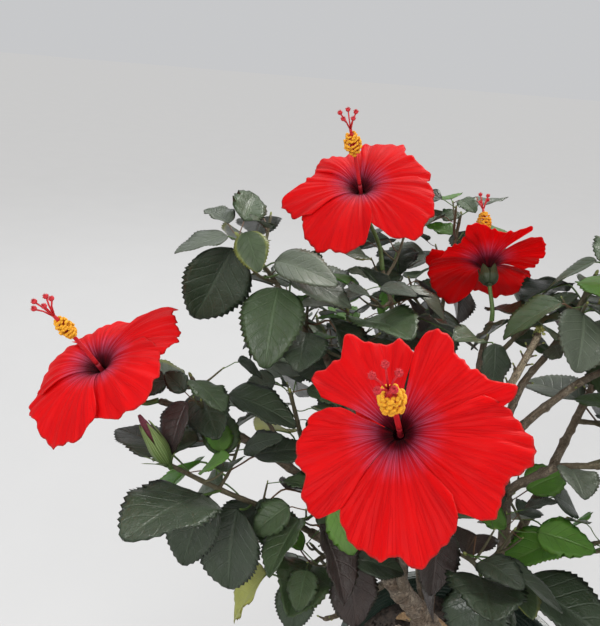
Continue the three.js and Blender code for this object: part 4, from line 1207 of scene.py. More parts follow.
small_leaves = 0
for name, mass in MASSES.items():
    rng = np.random.default_rng(mass["seed"])
    pile = LEAF_PILES[side_of(name)]
    for number, leaf in enumerate(mass["leaves"]):
        look = leaf.finish or pick(LOOK_SHARES, rng)
        look = mass.get("tinted", {}).get(number, look)
        add_leaf(pile, leaf, look, rng, LARGE_LEAF)
    for number, shoot in enumerate(mass["grown"]):
        add_shoot(shoot, rng, YOUTH["stem" if number == 0 else "side"])
        young = grow_small_leaves(mass, name, shoot["path"], TIP_LEAVES_AT, rng)
        for place in TWIGLET["places"]:
            young += grow_twiglet(mass, name, curve_points(shoot["path"], place), rng)
        for leaf in young:
            add_leaf(pile, leaf, pick(YOUNG_LOOK_SHARES, rng), rng, SMALL_LEAF)
        small_leaves += len(young)
print("small leaves:", small_leaves, "points on twigs:", twigs.count)

# %% [markdown]
# ## Petals
#
# The formula of the bloom gives the height of the petal's middle sheet. More is added to it: the outer edge
# runs smoothly through its radii with rounded corners and a fine frill, slow waves lift and lower the outer
# half, folds run outwards from the throat, and a crinkle runs along the very edge, where thin petals
# pucker. The margin of one petal is bent back. In every bloom but the front one the petals are made a
# little wider than their angles say, so that they overlap more.

# %% Petal sheets
PETAL = {"seed": 7100, "rows": 36, "columns": 57, "body": 0.8, "wider": 1.12, "waist": 0.05, "waist_to": 0.8,
         "frill": 0.012, "frills": (5.5, 13), "finer": 0.6, "waves": (1.2, 2.3), "wave": 2.6,
         "wave_power": 2.2, "crinkle": 0.9, "crinkles": 9, "crinkle_power": 7, "crinkle_lean": 3,
         "fold": 0.75, "folds": 5.3, "fold_power": 1.3, "ripple": 0.3, "ripples": 11.7}
BENT = {"from": 0.7, "over": 0.3, "side": 0.2, "side_over": 0.2, "end": 1.02, "end_over": 0.12, "power": 1.5,
        "pucker": 0.3, "puckers": 11}


def bent_margin(back, f, s):
    """How far down a petal's outer margin is bent. back is the most, and its inside stays as it is."""
    outer = np.clip((s - BENT["from"]) / BENT["over"], 0, 1)
    first_side = np.clip((f - BENT["side"]) / BENT["side_over"], 0, 1)
    last_side = np.clip((BENT["end"] - f) / BENT["end_over"], 0, 1)
    bent = outer * first_side * last_side
    puckered = 1 + BENT["pucker"] * np.sin(FULL_TURN * BENT["puckers"] * f)
    return back * bent ** BENT["power"] * puckered


def petal_grid(bloom, petal, rng, wider):
    s = np.linspace(0, 1, PETAL["rows"])[:, None]
    f = np.linspace(0, 1, PETAL["columns"])[None, :]
    reach = curve_points([[radius, 0, 0] for radius in petal[2]], f[0])[:, 0]
    waves, phase = rng.uniform(*PETAL["waves"]), rng.uniform(0, FULL_TURN, 3)
    few, many = (FULL_TURN * count * f[0] for count in PETAL["frills"])
    reach = reach * (1 + PETAL["frill"] * np.sin(few + phase[0])
                     + PETAL["finer"] * PETAL["frill"] * np.sin(many + phase[1]))
    radius = BLOOM["hole"] + (reach - BLOOM["hole"]) * s
    waist = wider - PETAL["waist"] * np.sin(math.pi * np.clip(s / PETAL["waist_to"], 0, 1))
    turn = np.radians((petal[0] + petal[1]) / 2 + (petal[1] - petal[0]) * (f - 0.5) * waist)
    height = petal_height(bloom, petal[3], radius) + BLOOM["lap"] * (f - 0.5) * s
    height = height + PETAL["wave"] * s ** PETAL["wave_power"] * np.sin(FULL_TURN * waves * f + phase[2])
    crinkles = np.sin(FULL_TURN * PETAL["crinkles"] * f + phase[0] + PETAL["crinkle_lean"] * s)
    height = height + PETAL["crinkle"] * s ** PETAL["crinkle_power"] * crinkles
    folds = np.sin(FULL_TURN * PETAL["folds"] * f + phase[1])
    height = height + PETAL["fold"] * folds * s ** PETAL["fold_power"]
    ripples = np.sin(FULL_TURN * PETAL["ripples"] * f + phase[0])
    height = height + PETAL["ripple"] * ripples * np.sin(math.pi * s)
    height = height - bent_margin(petal[4] if len(petal) > 4 else 0, f, s)
    return on_bloom(bloom, turn, radius, height), places_of(radius / BLOOM["petal"], f, s)


petal_piles = {}
for number, (name, bloom) in enumerate(BLOOMS.items()):
    rng = np.random.default_rng(PETAL["seed"] + number)
    pile = Pile(name.replace("bloom", "petals"), ["petal_upper", "petal_lower"])
    wider = 1 if name == "bloom_front" else PETAL["wider"]
    for petal in bloom["petals"]:
        grid, places = petal_grid(bloom, petal, rng, wider)
        add_blade(pile, grid, PETAL["body"], places, ["petal_lower", "petal_upper"])
    petal_piles[name] = pile
print("petals:", sum(len(bloom["petals"]) for bloom in BLOOMS.values()))

# %% [markdown]
# ## Hearts of the blooms
#
# Each bloom has a long column out of its throat. Fine threads stand round it in a ball, each with a yellow
# anther, and five red styles with velvety pads come out at its end. A dark plug closes the bottom of the
# throat. The first stretch of the column is a darker red, painted shade from the throat around it. Behind
# the petals are the green calyx with five pointed lobes, a ring of narrow bracts under it, and the flower's
# stalk. An open bloom's calyx is dark olive; a bud's is paler and closes round the rolled petals.

# %% Column, anthers and pads
hearts = Pile("hearts", ["column", "throat_column", "anther", "pad", "throat"])
greens = Pile("calyces", ["calyx", "green_stalk", "bud_petal", "bud_calyx"])
COLUMN = {"points": 22, "start": 2, "bend": 1.5, "root": 1.9, "thinner": 0.6, "shaded_points": 5}
ANTHERS = {"count": 110, "radius": 7.0, "size": 1.15, "from": 0.69, "to": 0.93}
NARROW_BALL = {"bloom_left": 0.75}
STYLES, HAIRS = 5, 26


def add_column(bloom, way, throat, split):
    at, facing, across, _ = bloom_frame(bloom)
    t = np.linspace(0, 1, COLUMN["points"])
    start, dark = throat + facing * COLUMN["start"], COLUMN["shaded_points"]
    bend = np.outer(np.sin(math.pi * t), unit(np.cross(way, across))) * COLUMN["bend"]
    column = start + (split - throat - facing * COLUMN["start"]) * t[:, None] + bend
    radii = COLUMN["root"] - COLUMN["thinner"] * t
    plug = [throat, at - facing * 17.5, at - facing * 16]
    add_tube(hearts, plug, [5.2, 4.8, 2.4], 14, "throat", 0.2)
    # The first points of the column get a darker red finish: painted shade from the throat around them.
    add_tube(hearts, column[:dark], radii[:dark], 12, "throat_column", 0.2)
    add_tube(hearts, column[dark - 1:], radii[dark - 1:], 12, "column", t[dark - 1:])
    return column


def add_anthers(name, column, way, first, rng):
    second, last = np.cross(way, first), COLUMN["points"] - 1
    for number in range(ANTHERS["count"]):
        along = ANTHERS["from"] + (ANTHERS["to"] - ANTHERS["from"]) * (number + 0.5) / ANTHERS["count"]
        out = around(first, second, math.radians(number * GOLDEN_ANGLE))
        k = min(int(along * last), last)
        from_middle = 2 * (number + 0.5) / ANTHERS["count"] - 1
        roundness = math.sqrt(max(0.1, 1 - 0.8 * from_middle ** 2))
        spread = ANTHERS["radius"] * roundness * rng.uniform(0.7, 1.1) * NARROW_BALL.get(name, 1)
        end = column[k] + out * spread + way * rng.uniform(-1.2, 1.2)
        middle = column[k] + out * spread * 0.5 + way * rng.uniform(-0.8, 0.6)
        add_tube(hearts, [column[k], middle, end], [0.3, 0.24, 0.2], 4, "column", 0.9)
        add_ball(hearts, end, ANTHERS["size"] * rng.uniform(0.8, 1.25), unit(np.cross(out, way) + out * 0.2),
                 1.45, 7, 5, "anther", rng.uniform())


def add_styles(bloom, split, stigma, way, rng):
    """Styles that part from the column, each with a pad of short hairs."""
    *_, across, above_throat = bloom_frame(bloom)
    for k in range(STYLES):
        out = around(across, above_throat, math.radians(360 / STYLES * k + 20))
        pad = stigma + out * BLOOM["spread"] + way * rng.uniform(-1, 1.5)
        style = [split - way * 2, split + (pad - split) * 0.5 + way * 1.2, pad]
        add_tube(hearts, style, [0.75, 0.65, 0.7], 6, "column", 1.0)
        middle = pad + way * 0.6
        add_ball(hearts, middle, 2.1, way, 0.75, 14, 8, "pad", rng.uniform())
        for hair in range(HAIRS):
            lean = heading_vector(hair * GOLDEN_ANGLE, rng.uniform(5, 85))
            tip = unit(out * lean[0] + np.cross(way, out) * lean[1] + way * lean[2])
            add_tube(hearts, [middle + tip * 1.2, middle + tip * 2.7], [0.3, 0.1], 3, "pad", 0.5)


def add_heart(name, bloom, rng):
    at, facing, across, _ = bloom_frame(bloom)
    throat = at - facing * BLOOM["throat"]
    stigma = at + np.array(bloom["column"])
    split = throat + (stigma - throat) * BLOOM["split"]
    way = unit(stigma - throat)
    column = add_column(bloom, way, throat, split)
    add_anthers(name, column, way, unit(np.cross(way, facing + across * 0.3)), rng)
    add_styles(bloom, split, stigma, way, rng)


# %% Calyx, bracts and flower stalk
SEPALS, BRACTS = 5, 7
OPEN_CALYX = {"widest": 6.3, "flare": 0.5, "closing": 0, "finish": "calyx"}
BUD_CALYX = {"widest": 4.4, "flare": 0, "closing": 0.45, "finish": "bud_calyx"}


def add_sepal(foot, way, first, second, angle, length, shape, rng):
    v = np.linspace(0, 1, 15)[:, None]
    u = np.linspace(-1, 1, 9)[None, :]
    tapered = np.clip((v - 0.5) / 0.5, 0, 1) ** 1.4
    turn = angle + u * (math.radians(37) * np.maximum(1 - tapered, 0.02))
    flare = np.clip(v - 0.7, 0, 1) * rng.uniform(1, 7) * shape["flare"]
    radius = 3.2 + shape["widest"] * np.sin(math.pi * np.minimum(1.08 * v, 0.62))
    radius = radius * (1 - shape["closing"] * v ** 2.5) + flare
    radius = radius + 0.35 * np.cos(u * math.pi * 2)
    grid = (foot + first * (np.cos(turn) * radius)[..., None] + second * (np.sin(turn) * radius)[..., None]
            + way * (v * length)[..., None])
    add_blade(greens, grid, 0.7, places_of(v, u, rng.uniform()), shape["finish"])


def add_bract(foot, way, first, second, angle, length, finish, rng):
    v = np.linspace(0, 1, 9)[:, None]
    u = np.linspace(-1, 1, 5)[None, :]
    out, aside = around(first, second, angle), around(second, -first, angle)
    spread = rng.uniform(0.5, 1.1)
    centre = foot + out * 3 + out * (v[..., None] ** 1.3 * length * spread)
    centre = centre + way * (v[..., None] * length * 0.75)
    half = 0.95 * np.sin(math.pi * np.clip(v * 0.86 + 0.12, 0, 1))
    add_blade(greens, centre + aside * (u * half)[..., None], 0.6, places_of(v, u, 0.3), finish)


def add_calyx(foot, way, first, second, length, shape, rng):
    for k in range(SEPALS):
        add_sepal(foot, way, first, second, math.radians(360 / SEPALS * k + 8), length, shape, rng)
    for k in range(BRACTS):
        add_bract(foot, way, first, second, math.radians(360 / BRACTS * k), length * rng.uniform(0.35, 0.5),
                  shape["finish"], rng)
    add_ball(greens, foot + way, 3.6, way, 0.9, 14, 7, shape["finish"], 0.3)


for number, (name, bloom) in enumerate(BLOOMS.items()):
    rng = np.random.default_rng(7200 + number)
    add_heart(name, bloom, rng)
    _, facing, across, above_throat = bloom_frame(bloom)
    foot = calyx_foot(bloom)
    t = np.linspace(0, 1, 16)
    stalk = curve_points([*bloom["stalk"], foot], t)
    add_tube(greens, stalk, BLOOM["stalk"] * (1.15 - 0.25 * t), 10, "green_stalk", 0.4)
    add_calyx(foot, facing, across, above_throat, 21, OPEN_CALYX, rng)
    add_tube(greens, [foot, foot + facing * 7, foot + facing * 16], [3, 7.0, 7.6], 16, "calyx", 0.2)
print("points in hearts and calyces:", hearts.count, greens.count)

# %% Closed buds
BUD = {"rings": 30, "sides": 36, "petals": 5.6, "turns": 1.1, "edges": 5, "step": 0.14}

for name, mass in MASSES.items():
    if "bud" not in mass:
        continue
    rng = np.random.default_rng(mass["seed"] + 5)
    foot, reach = np.array(mass["stem"][-1], float), np.array(mass["bud"], float)
    way = unit(reach)
    first = unit(np.cross(way, (0, 1, 0.2)))
    add_tube(greens, [foot - way * 4, foot, foot + way * 3], [1.9, 2.1, 2.8], 10, "green_stalk", 0.4)
    add_calyx(foot, way, first, np.cross(way, first), 0.84 * np.linalg.norm(reach), BUD_CALYX, rng)
    t = np.linspace(0, 1, BUD["rings"])
    centres = foot + np.outer(0.2 + 0.8 * t, reach)
    turn = np.arange(BUD["sides"])[None] * 2 * math.pi / BUD["sides"]
    roll = (turn / FULL_TURN * BUD["edges"] + t[:, None] * BUD["turns"] * BUD["edges"]) % 1
    radii = BUD["petals"] * (1 - 0.78 * t[:, None] ** 2.2) * (1 - BUD["step"] * roll)
    radii = radii * np.minimum(1, 0.55 + 2.2 * t[:, None])
    add_tube(greens, centres, radii, BUD["sides"], "bud_petal", t)
print("points with buds:", greens.count)

# %% [markdown]
# ## Pot, soil and litter
#
# The pot is a turned profile. Its lip is rolled, its inside wall has fine rings from the mould, and its
# outside has two raised bands and a foot ring. The soil is uneven, with crumbs of many sizes and the dry
# petals and leaves that a hibiscus sheds.

# %% Pot
POT_SIDES = 160
BELOW_SOIL = 190.0


def arc(middle_r, middle_z, radius, start, end, count):
    angles = np.radians(np.linspace(start, end, count))
    return np.stack([middle_r + radius * np.cos(angles), middle_z + radius * np.sin(angles)], axis=1)


def lathe(pile, profile, sides, finish):
    """Turns a line of (radius, height) points round the upright axis, with a fan at each end."""
    turn = np.arange(sides) * 2 * math.pi / sides
    radius, height = profile[:, 0][:, None], profile[:, 1][:, None]
    points = np.stack([radius * np.cos(turn), radius * np.sin(turn), height + 0 * turn], axis=-1)
    points = np.vstack([points.reshape(-1, 3), [[0, 0, profile[0, 1]], [0, 0, profile[-1, 1]]]])
    pile.add(points, points, tube_faces(len(profile), sides), finish)


def pot_profile():
    """From the middle of the underside, up the outside, over the lip and down to below the soil."""
    underside = [[60, 3], [88, 3], [90, 0]]
    foot = [[98, 0], [99.5, 1], [100, 4], [100.6, 10]]
    z = np.linspace(14, 221, 70)
    wall = 100 + (z - 4) * (133 - 100) / (224 - 4)
    bands = 1.1 * np.exp(-((z - 34) / 4.5) ** 4) + 1.1 * np.exp(-((z - 196) / 5.5) ** 4)
    outside = np.stack([wall + bands + 0.18 * np.sin(z / 2.1), z], axis=1)
    under_lip = [[133.6, 223.2], [137.5, 223.4]]
    lip = [arc(138, 225.4, 2, -80, -5, 5), arc(136.4, 236.4, 3.6, 0, 100, 9),
           arc(131.4, 236.6, 3.2, 85, 178, 8)]
    z = np.linspace(231, 196, 72)
    ridges = 0.55 * np.abs(np.sin(z * math.pi / 5.2)) ** 3
    inside = np.stack([128.6 - (231 - z) * 0.14 - ridges, z], axis=1)
    turn_back = np.stack([np.linspace(118, 40, 4), np.full(4, BELOW_SOIL)], axis=1)
    return np.vstack([underside, foot, outside, under_lip, *lip, inside, turn_back])


pot = Pile("pot_shell", ["pot_plastic"])
lathe(pot, pot_profile(), POT_SIDES, "pot_plastic")
print("points on the pot:", pot.count)

# %% Soil surface
SOIL = {"radius": 125, "rings": 62, "sides": 190, "grit": 0.75}
soil = Pile("soil_bed", ["soil"])


def soil_height(x, y):
    """Slow waves, and a small mound round the trunk."""
    waves = 1.6 * np.sin(x / 17 + 1) * np.cos(y / 21) + 1.1 * np.sin(x / 7.3 + y / 9.1)
    waves = waves + 0.7 * np.cos(y / 4.1 - x / 5)
    return SOIL_TOP + waves + 3.5 * np.exp(-((x - 8) ** 2 + (y - 6) ** 2) / 900)


rng = np.random.default_rng(8100)
ring_radius = np.linspace(1, 0.008, SOIL["rings"])[:, None] * SOIL["radius"]
turn = np.arange(SOIL["sides"])[None] * 2 * math.pi / SOIL["sides"]
x, y = ring_radius * np.cos(turn), ring_radius * np.sin(turn)
z = soil_height(x, y) + rng.normal(0, SOIL["grit"], x.shape) * np.clip(ring_radius / 30, 0.2, 1)
skirt = np.stack([x[0], y[0], np.full(SOIL["sides"], BELOW_SOIL)], axis=-1)[None]
bed = np.vstack([skirt, np.stack([x, y, z], axis=-1)]).reshape(-1, 3)
bed = np.vstack([bed, [[0, 0, BELOW_SOIL], [0, 0, soil_height(0, 0)]]])
soil.add(bed, bed, tube_faces(SOIL["rings"] + 1, SOIL["sides"]), "soil")
print("points on the soil:", soil.count)

# %% Crumbs of soil
CRUMB = {"count": 1500, "rings": 5, "sides": 6, "pale_share": 0.07}
crumbs = Pile("soil_crumbs", ["soil", "pale_grit"])
half_circle = np.linspace(0.12, 0.88, CRUMB["rings"]) * math.pi

for number in range(CRUMB["count"]):
    away = (SOIL["radius"] - 3) * math.sqrt(rng.uniform())
    angle = rng.uniform(0, FULL_TURN)
    x, y = away * math.cos(angle), away * math.sin(angle)
    size = 0.8 + 2.6 * rng.uniform() ** 3
    centre = np.array([x, y, soil_height(x, y) + size * 0.4])
    look = "pale_grit" if rng.uniform() < CRUMB["pale_share"] else "soil"
    lumps = rng.uniform(0.7, 1.25, (CRUMB["rings"], CRUMB["sides"]))
    radii = np.sin(half_circle)[:, None] * size * lumps
    axis = heading_vector(rng.uniform(0, 360), rng.uniform(-60, 60))
    heights = -np.cos(half_circle) * size * rng.uniform(0.7, 1.2)
    add_tube(crumbs, centre + np.outer(heights, axis), radii, CRUMB["sides"], look, rng.uniform())
print("points in crumbs:", crumbs.count)

# %% Litter on the soil
LITTER = {"count": 46, "petal_share": 0.55, "thick": 0.5}
litter = Pile("litter", ["dry_petal", "dry_leaf"])
curl_along = np.sin(math.pi * np.linspace(0, 1, SMALL_LEAF["rows"]))[:, None]
curl_across = np.linspace(-1, 1, SMALL_LEAF["columns"])[None] ** 2

for number in range(LITTER["count"]):
    away = 20 + (SOIL["radius"] - 34) * math.sqrt(rng.uniform())
    spot = heading_vector(rng.uniform(0, 360), 0) * away
    length = rng.uniform(16, 40)
    foot = np.array([spot[0], spot[1], soil_height(*spot[:2]) + 2.2])
    piece = Leaf(foot, rng.uniform(0, 360), rng.uniform(-4, 14), rng.uniform(-22, 22), length)
    piece.base = foot
    grid, places = blade_grid(piece, rng, **SMALL_LEAF)
    grid[..., 2] += rng.uniform(2, 6) * curl_along * curl_across
    if np.hypot(grid[..., 0], grid[..., 1]).max() > SOIL["radius"] - 4:
        continue
    grid[..., 2] = np.maximum(grid[..., 2], soil_height(grid[..., 0], grid[..., 1]) + 0.8)
    look = "dry_petal" if rng.uniform() < LITTER["petal_share"] else "dry_leaf"
    add_blade(litter, grid, LITTER["thick"], places, look)
print("points in litter:", litter.count)

# %% [markdown]
# ## Finishes of leaves
#
# Every leaf carries its own place: how far along its midrib, how far out to its edge, and a number of its
# own. From these come the midrib, the slanting side veins, a net of fine veins, a tinted margin and a slow
# mottling that differs from leaf to leaf. Light from behind passes through a thin leaf and turns it bright.

# %% Leaf finish
materials = {}
SPECK = (0.10, 0.07, 0.03)
# A pale grey that is painted sheen on the leaves.
PAINTED_SHEEN_GREY = (0.22, 0.24, 0.22)


def scaled(colour, share, more=0):
    """A colour made darker or lighter, up to white."""
    return tuple(min(1, share * part + more) for part in colour)


def leaf_finish(name, base, other, vein, margin, gloss, through, margin_from):
    finish = Finish(name, Coat_Weight=gloss, Coat_Roughness=0.19, Specular_IOR_Level=0.5)
    where, along, out, number = finish.place()
    off = finish.math("ABSOLUTE", out)
    run = (along - off * BLADE["vein_slant"]) * BLADE["side_veins"]
    side_vein = 1 - finish.step(finish.math("PINGPONG", run, 0.5), 0.015, 0.1)
    midrib = 1 - finish.step(off, 0.02, 0.085)
    veins = finish.math("MAXIMUM", midrib, side_vein * 0.7)
    own = finish.stretched(where, (1.0, 0.6, 37.0))
    net = finish.node("ShaderNodeTexVoronoi", {"feature": "DISTANCE_TO_EDGE"},
                      {"Vector": own, "Scale": 19}, "Distance")
    net = 1 - finish.step(net, 0.0, 0.09)
    mottle = finish.step(finish.noise(own, 3.4, 4), 0.32, 0.68)
    specks = finish.step(finish.noise(own, 46, 2), 0.66, 0.74)
    colour = finish.blend(mottle, base, other)
    shade = finish.math("PINGPONG", number * 7.3, 1.0)
    colour = finish.blend(shade * 0.35, colour, scaled(base, 0.45))
    colour = finish.blend(net * 0.22, colour, vein)
    colour = finish.blend(veins * 0.62, colour, vein)
    edge = finish.step(off + finish.noise(own, 5) * 0.25 - 0.12, margin_from, 1.0)
    colour = finish.blend(edge * 0.8, colour, margin)
    colour = finish.blend(specks * 0.5, colour, SPECK)
    # Painted sheen: pale grey patches of noise, weaker on the veins, are blended into the colour; the same
    # patches are a little rougher.
    sheen_patches = finish.step(finish.noise(own, 8, 5, 0.7), 0.5, 0.74) * (1 - veins * 0.6)
    colour = finish.blend(sheen_patches * 0.13, colour, PAINTED_SHEEN_GREY)
    finish.colour(colour)
    finish.roughness(0.29 + mottle * 0.14 + net * 0.1 + sheen_patches * 0.15)
    finish.bump(veins * 0.7 + net * 0.2 + finish.noise(own, 24, 4) * 0.4, 0.0011, 0.8)
    finish.let_light_through(through, finish.blend(veins * 0.5, scaled(other, 3), vein))
    return finish.material


# %% Leaf colours
# Each look has its ground, its mottling, its veins, its margin, its underside, its gloss and the share of
# light that it lets through.
LEAF_COLOURS = {
    "deep": ((0.008, 0.017, 0.010), (0.016, 0.030, 0.015), (0.035, 0.055, 0.028), (0.016, 0.030, 0.010),
             (0.026, 0.042, 0.020), 0.55, 0.06),
    "mid": ((0.018, 0.044, 0.014), (0.032, 0.068, 0.018), (0.070, 0.110, 0.040), (0.05, 0.08, 0.015),
            (0.048, 0.082, 0.030), 0.40, 0.14),
    # This look's grey-green colours are painted sheen: the grey shine of glossy upper faces, put into the
    # ground.
    "dusty": ((0.040, 0.056, 0.044), (0.085, 0.105, 0.080), (0.14, 0.16, 0.12), (0.10, 0.11, 0.06),
              (0.075, 0.095, 0.060), 0.25, 0.08),
    # This look's light green colours are painted backlight, the glow of leaves lit from behind, on top of the
    # light that the finish lets through.
    "bright": ((0.050, 0.165, 0.010), (0.095, 0.250, 0.014), (0.17, 0.32, 0.04), (0.12, 0.20, 0.02),
               (0.110, 0.220, 0.040), 0.30, 0.34),
    "maroon": ((0.020, 0.010, 0.009), (0.034, 0.016, 0.012), (0.07, 0.05, 0.03), (0.03, 0.03, 0.012),
               (0.026, 0.015, 0.012), 0.50, 0.06),
    "yellow": ((0.300, 0.330, 0.040), (0.400, 0.420, 0.060), (0.42, 0.46, 0.16), (0.20, 0.14, 0.03),
               (0.330, 0.350, 0.090), 0.15, 0.30),
    "edged": ((0.020, 0.042, 0.016), (0.040, 0.075, 0.022), (0.09, 0.13, 0.05), (0.30, 0.32, 0.05),
              (0.055, 0.085, 0.035), 0.35, 0.12),
}
MARGIN_FROM = 0.9
WIDE_MARGIN_FROM = 0.7
UNDERSIDE_GLOSS = 0.05

for look, (base, other, vein, margin, under, gloss, through) in LEAF_COLOURS.items():
    margin_from = WIDE_MARGIN_FROM if look == "edged" else MARGIN_FROM
    faces = {"_upper": (base, other, vein, margin, gloss),
             "_lower": (under, scaled(under, 1.35), scaled(under, 1.6, 0.02), margin, UNDERSIDE_GLOSS)}
    for side, settings in faces.items():
        materials[look + side] = leaf_finish(look + side, *settings, through, margin_from)
print("leaf finishes:", len(materials))

# %% [markdown]
# ## Finishes of bark, stalks and buds
#
# The place on a limb says how far round, how far along in millimetres and how young the wood is. Old bark
# is grey-brown with cracks along the grain and pale corky dots; young bark is greener and smoother.

# %% Bark and stalks
CRACK = (0.035, 0.025, 0.017)
CORK = (0.36, 0.31, 0.24)


def bark_finish(name, old, pale, young, crack_share):
    finish = Finish(name)
    where, *_, youth = finish.place()
    fibres = finish.noise(finish.stretched(where, (2.6, 0.11, 0.0)), 2.2, 7, 0.65)
    patches = finish.step(finish.noise(finish.stretched(where, (1.2, 0.05, 0)), 1.6, 4), 0.38, 0.66)
    cracks = 1 - finish.step(finish.math("ABSOLUTE", fibres - 0.5), 0.0, 0.035)
    dots = finish.node("ShaderNodeTexVoronoi", {},
                       {"Vector": finish.stretched(where, (2.4, 0.32, 0)), "Scale": 1.5}, "Distance")
    dots = 1 - finish.step(dots, 0.10, 0.19)
    colour = finish.blend(patches, old, pale)
    colour = finish.blend(finish.step(fibres, 0.35, 0.7) * 0.5, colour, scaled(old, 0.55))
    colour = finish.blend(youth * 0.6, colour, young)
    colour = finish.blend(cracks * crack_share, colour, CRACK)
    colour = finish.blend(dots * 0.55, colour, CORK)
    finish.colour(colour)
    finish.roughness(0.86 - youth * 0.25 - dots * 0.1)
    finish.bump(fibres * 0.7 - cracks * crack_share * 0.6 + dots * 0.35, 0.0012, 0.9)
    return finish.material


def plain_finish(name, base, other, scale, rough, bump, through=0.0, shine=0.5):
    """A soft mottled finish for small green, red or yellow parts."""
    finish = Finish(name, Specular_IOR_Level=shine)
    where, *_ = finish.place()
    grain = finish.noise(where, scale, 4, 0.6)
    finish.colour(finish.blend(finish.step(grain, 0.3, 0.7), base, other))
    finish.roughness(rough + grain * 0.15)
    finish.bump(grain, bump, 0.7)
    if through:
        finish.let_light_through(through, other)
    return finish.material


def add_finishes(make, table):
    """Makes one finish for each row of a table, under the row's name."""
    for name, settings in table.items():
        materials[name] = make(name, *settings)


add_finishes(bark_finish, {
    "old_bark": ((0.150, 0.106, 0.072), (0.300, 0.245, 0.185), (0.150, 0.120, 0.062), 0.8),
    "dry_bark": ((0.33, 0.26, 0.17), (0.60, 0.50, 0.36), (0.44, 0.37, 0.24), 0.9),
    "young_bark": ((0.140, 0.100, 0.070), (0.22, 0.18, 0.12), (0.11, 0.12, 0.045), 0.4),
})
add_finishes(plain_finish, {
    "tuft_bud": ((0.34, 0.36, 0.08), (0.56, 0.54, 0.20), 3.0, 0.5, 0.0003),
    "spur_bud": ((0.16, 0.20, 0.05), (0.28, 0.30, 0.09), 3.0, 0.5, 0.0003),
    "green_stalk": ((0.070, 0.140, 0.030), (0.12, 0.20, 0.05), 1.2, 0.42, 0.0003, 0.1),
    "red_stalk": ((0.110, 0.045, 0.025), (0.15, 0.09, 0.04), 1.2, 0.42, 0.0003, 0.1),
})
print("finishes with bark and stalks:", len(materials))

# %% [markdown]
# ## Finishes of the blooms
#
# A petal is almost black in the throat, then dark red, and beyond that a full clean red. Round the throat
# lies a purple bloom with pale streaks that point outwards. Fine veins fan out to the edge.

# %% Petals
THROAT_RED = (0.008, 0.0, 0.002)
STREAK_PINK = (0.68, 0.17, 0.32)
VEIN_RED = (0.40, 0.002, 0.010)
CLOUD_RED = (0.62, 0.004, 0.016)
# A paler red that is painted highlight on the thin outer rim.
RIM_HIGHLIGHT_RED = (0.86, 0.16, 0.14)
# A darker red that is painted shade in the petals' folds.
FOLD_SHADE_RED = (0.42, 0.001, 0.006)


def petal_finish(name, dim):
    finish = Finish(name, Specular_IOR_Level=0.15, Sheen_Weight=0.02, Sheen_Roughness=0.5)
    where, radius, _, out = finish.place()
    red = finish.ramp(radius, [(0.0, THROAT_RED), (1.0, (0.84 * dim, 0.003, 0.004)),
                               (0.095, (0.026, 0.0, 0.005)), (0.155, (0.16, 0.001, 0.014)),
                               (0.235, (0.50 * dim, 0.003, 0.020)), (0.38, (0.80 * dim, 0.003, 0.006))])
    fan = finish.stretched(where, (0.55, 15.0, 0.0))
    streaks = finish.noise(fan, 3.1, 3, 0.55)
    veins = 1 - finish.step(finish.math("ABSOLUTE", finish.noise(fan, 1.7, 1.0) - 0.5), 0.0, 0.03)
    ring = finish.step(radius, 0.12, 0.19) * (1 - finish.step(radius, 0.25, 0.46))
    colour = finish.blend(ring * finish.step(streaks, 0.4, 0.7) * 0.62, red, STREAK_PINK)
    colour = finish.blend(veins * 0.2 * finish.step(radius, 0.2, 0.4), colour, VEIN_RED)
    cloud = finish.noise(finish.stretched(where, (3.0, 3.0, 2.0)), 1.4, 4)
    colour = finish.blend(finish.step(cloud, 0.45, 0.8) * 0.3, colour, CLOUD_RED)
    # Painted highlight: the outermost rim of each petal is blended towards a paler red, as light caught by
    # the thin edge.
    rim = finish.step(out, 0.975, 0.998)
    colour = finish.blend(rim * 0.25, colour, RIM_HIGHLIGHT_RED)
    # Painted shade: broad bands of noise running outwards darken the red where the folds would be shaded; the
    # same noise raises the folds in the bump.
    folds = finish.noise(finish.stretched(where, (0.35, 8.0, 0.0)), 1.1, 2, 0.5)
    colour = finish.blend(finish.step(folds, 0.42, 0.72) * 0.34, colour, FOLD_SHADE_RED)
    finish.colour(colour)
    finish.roughness(0.46 + streaks * 0.15)
    finish.bump(veins * -0.3 + streaks * 0.5 + folds * 1.2, 0.0012, 0.7)
    glow = finish.blend(finish.step(radius, 0.1, 0.3), (0.1, 0.0, 0.01), (1.0, 0.010, 0.012))
    finish.let_light_through(0.4, glow)
    return finish.material


add_finishes(petal_finish, {"petal_upper": (1.0,), "petal_lower": (0.95,)})
add_finishes(plain_finish, {
    "column": ((0.55, 0.006, 0.014), (0.78, 0.03, 0.04), 2.0, 0.42, 0.0002, 0.15),
    # A darker red for the column's root, painted shade inside the throat.
    "throat_column": ((0.26, 0.002, 0.01), (0.40, 0.006, 0.018), 2.0, 0.5, 0.0002),
    "throat": ((0.006, 0.0, 0.001), (0.014, 0.0, 0.003), 2.0, 0.8, 0.0002, 0.0, 0.0),
    "anther": ((0.86, 0.34, 0.012), (1.0, 0.56, 0.03), 5.0, 0.7, 0.0004, 0.12),
    "pad": ((0.50, 0.008, 0.02), (0.78, 0.06, 0.07), 4.0, 0.8, 0.0005, 0.1),
    "bud_petal": ((0.045, 0.002, 0.010), (0.17, 0.018, 0.040), 5.0, 0.46, 0.0008),
})
print("finishes with petals and columns:", len(materials))

# %% Calyces
CALYX_SPECK = (0.10, 0.06, 0.03)


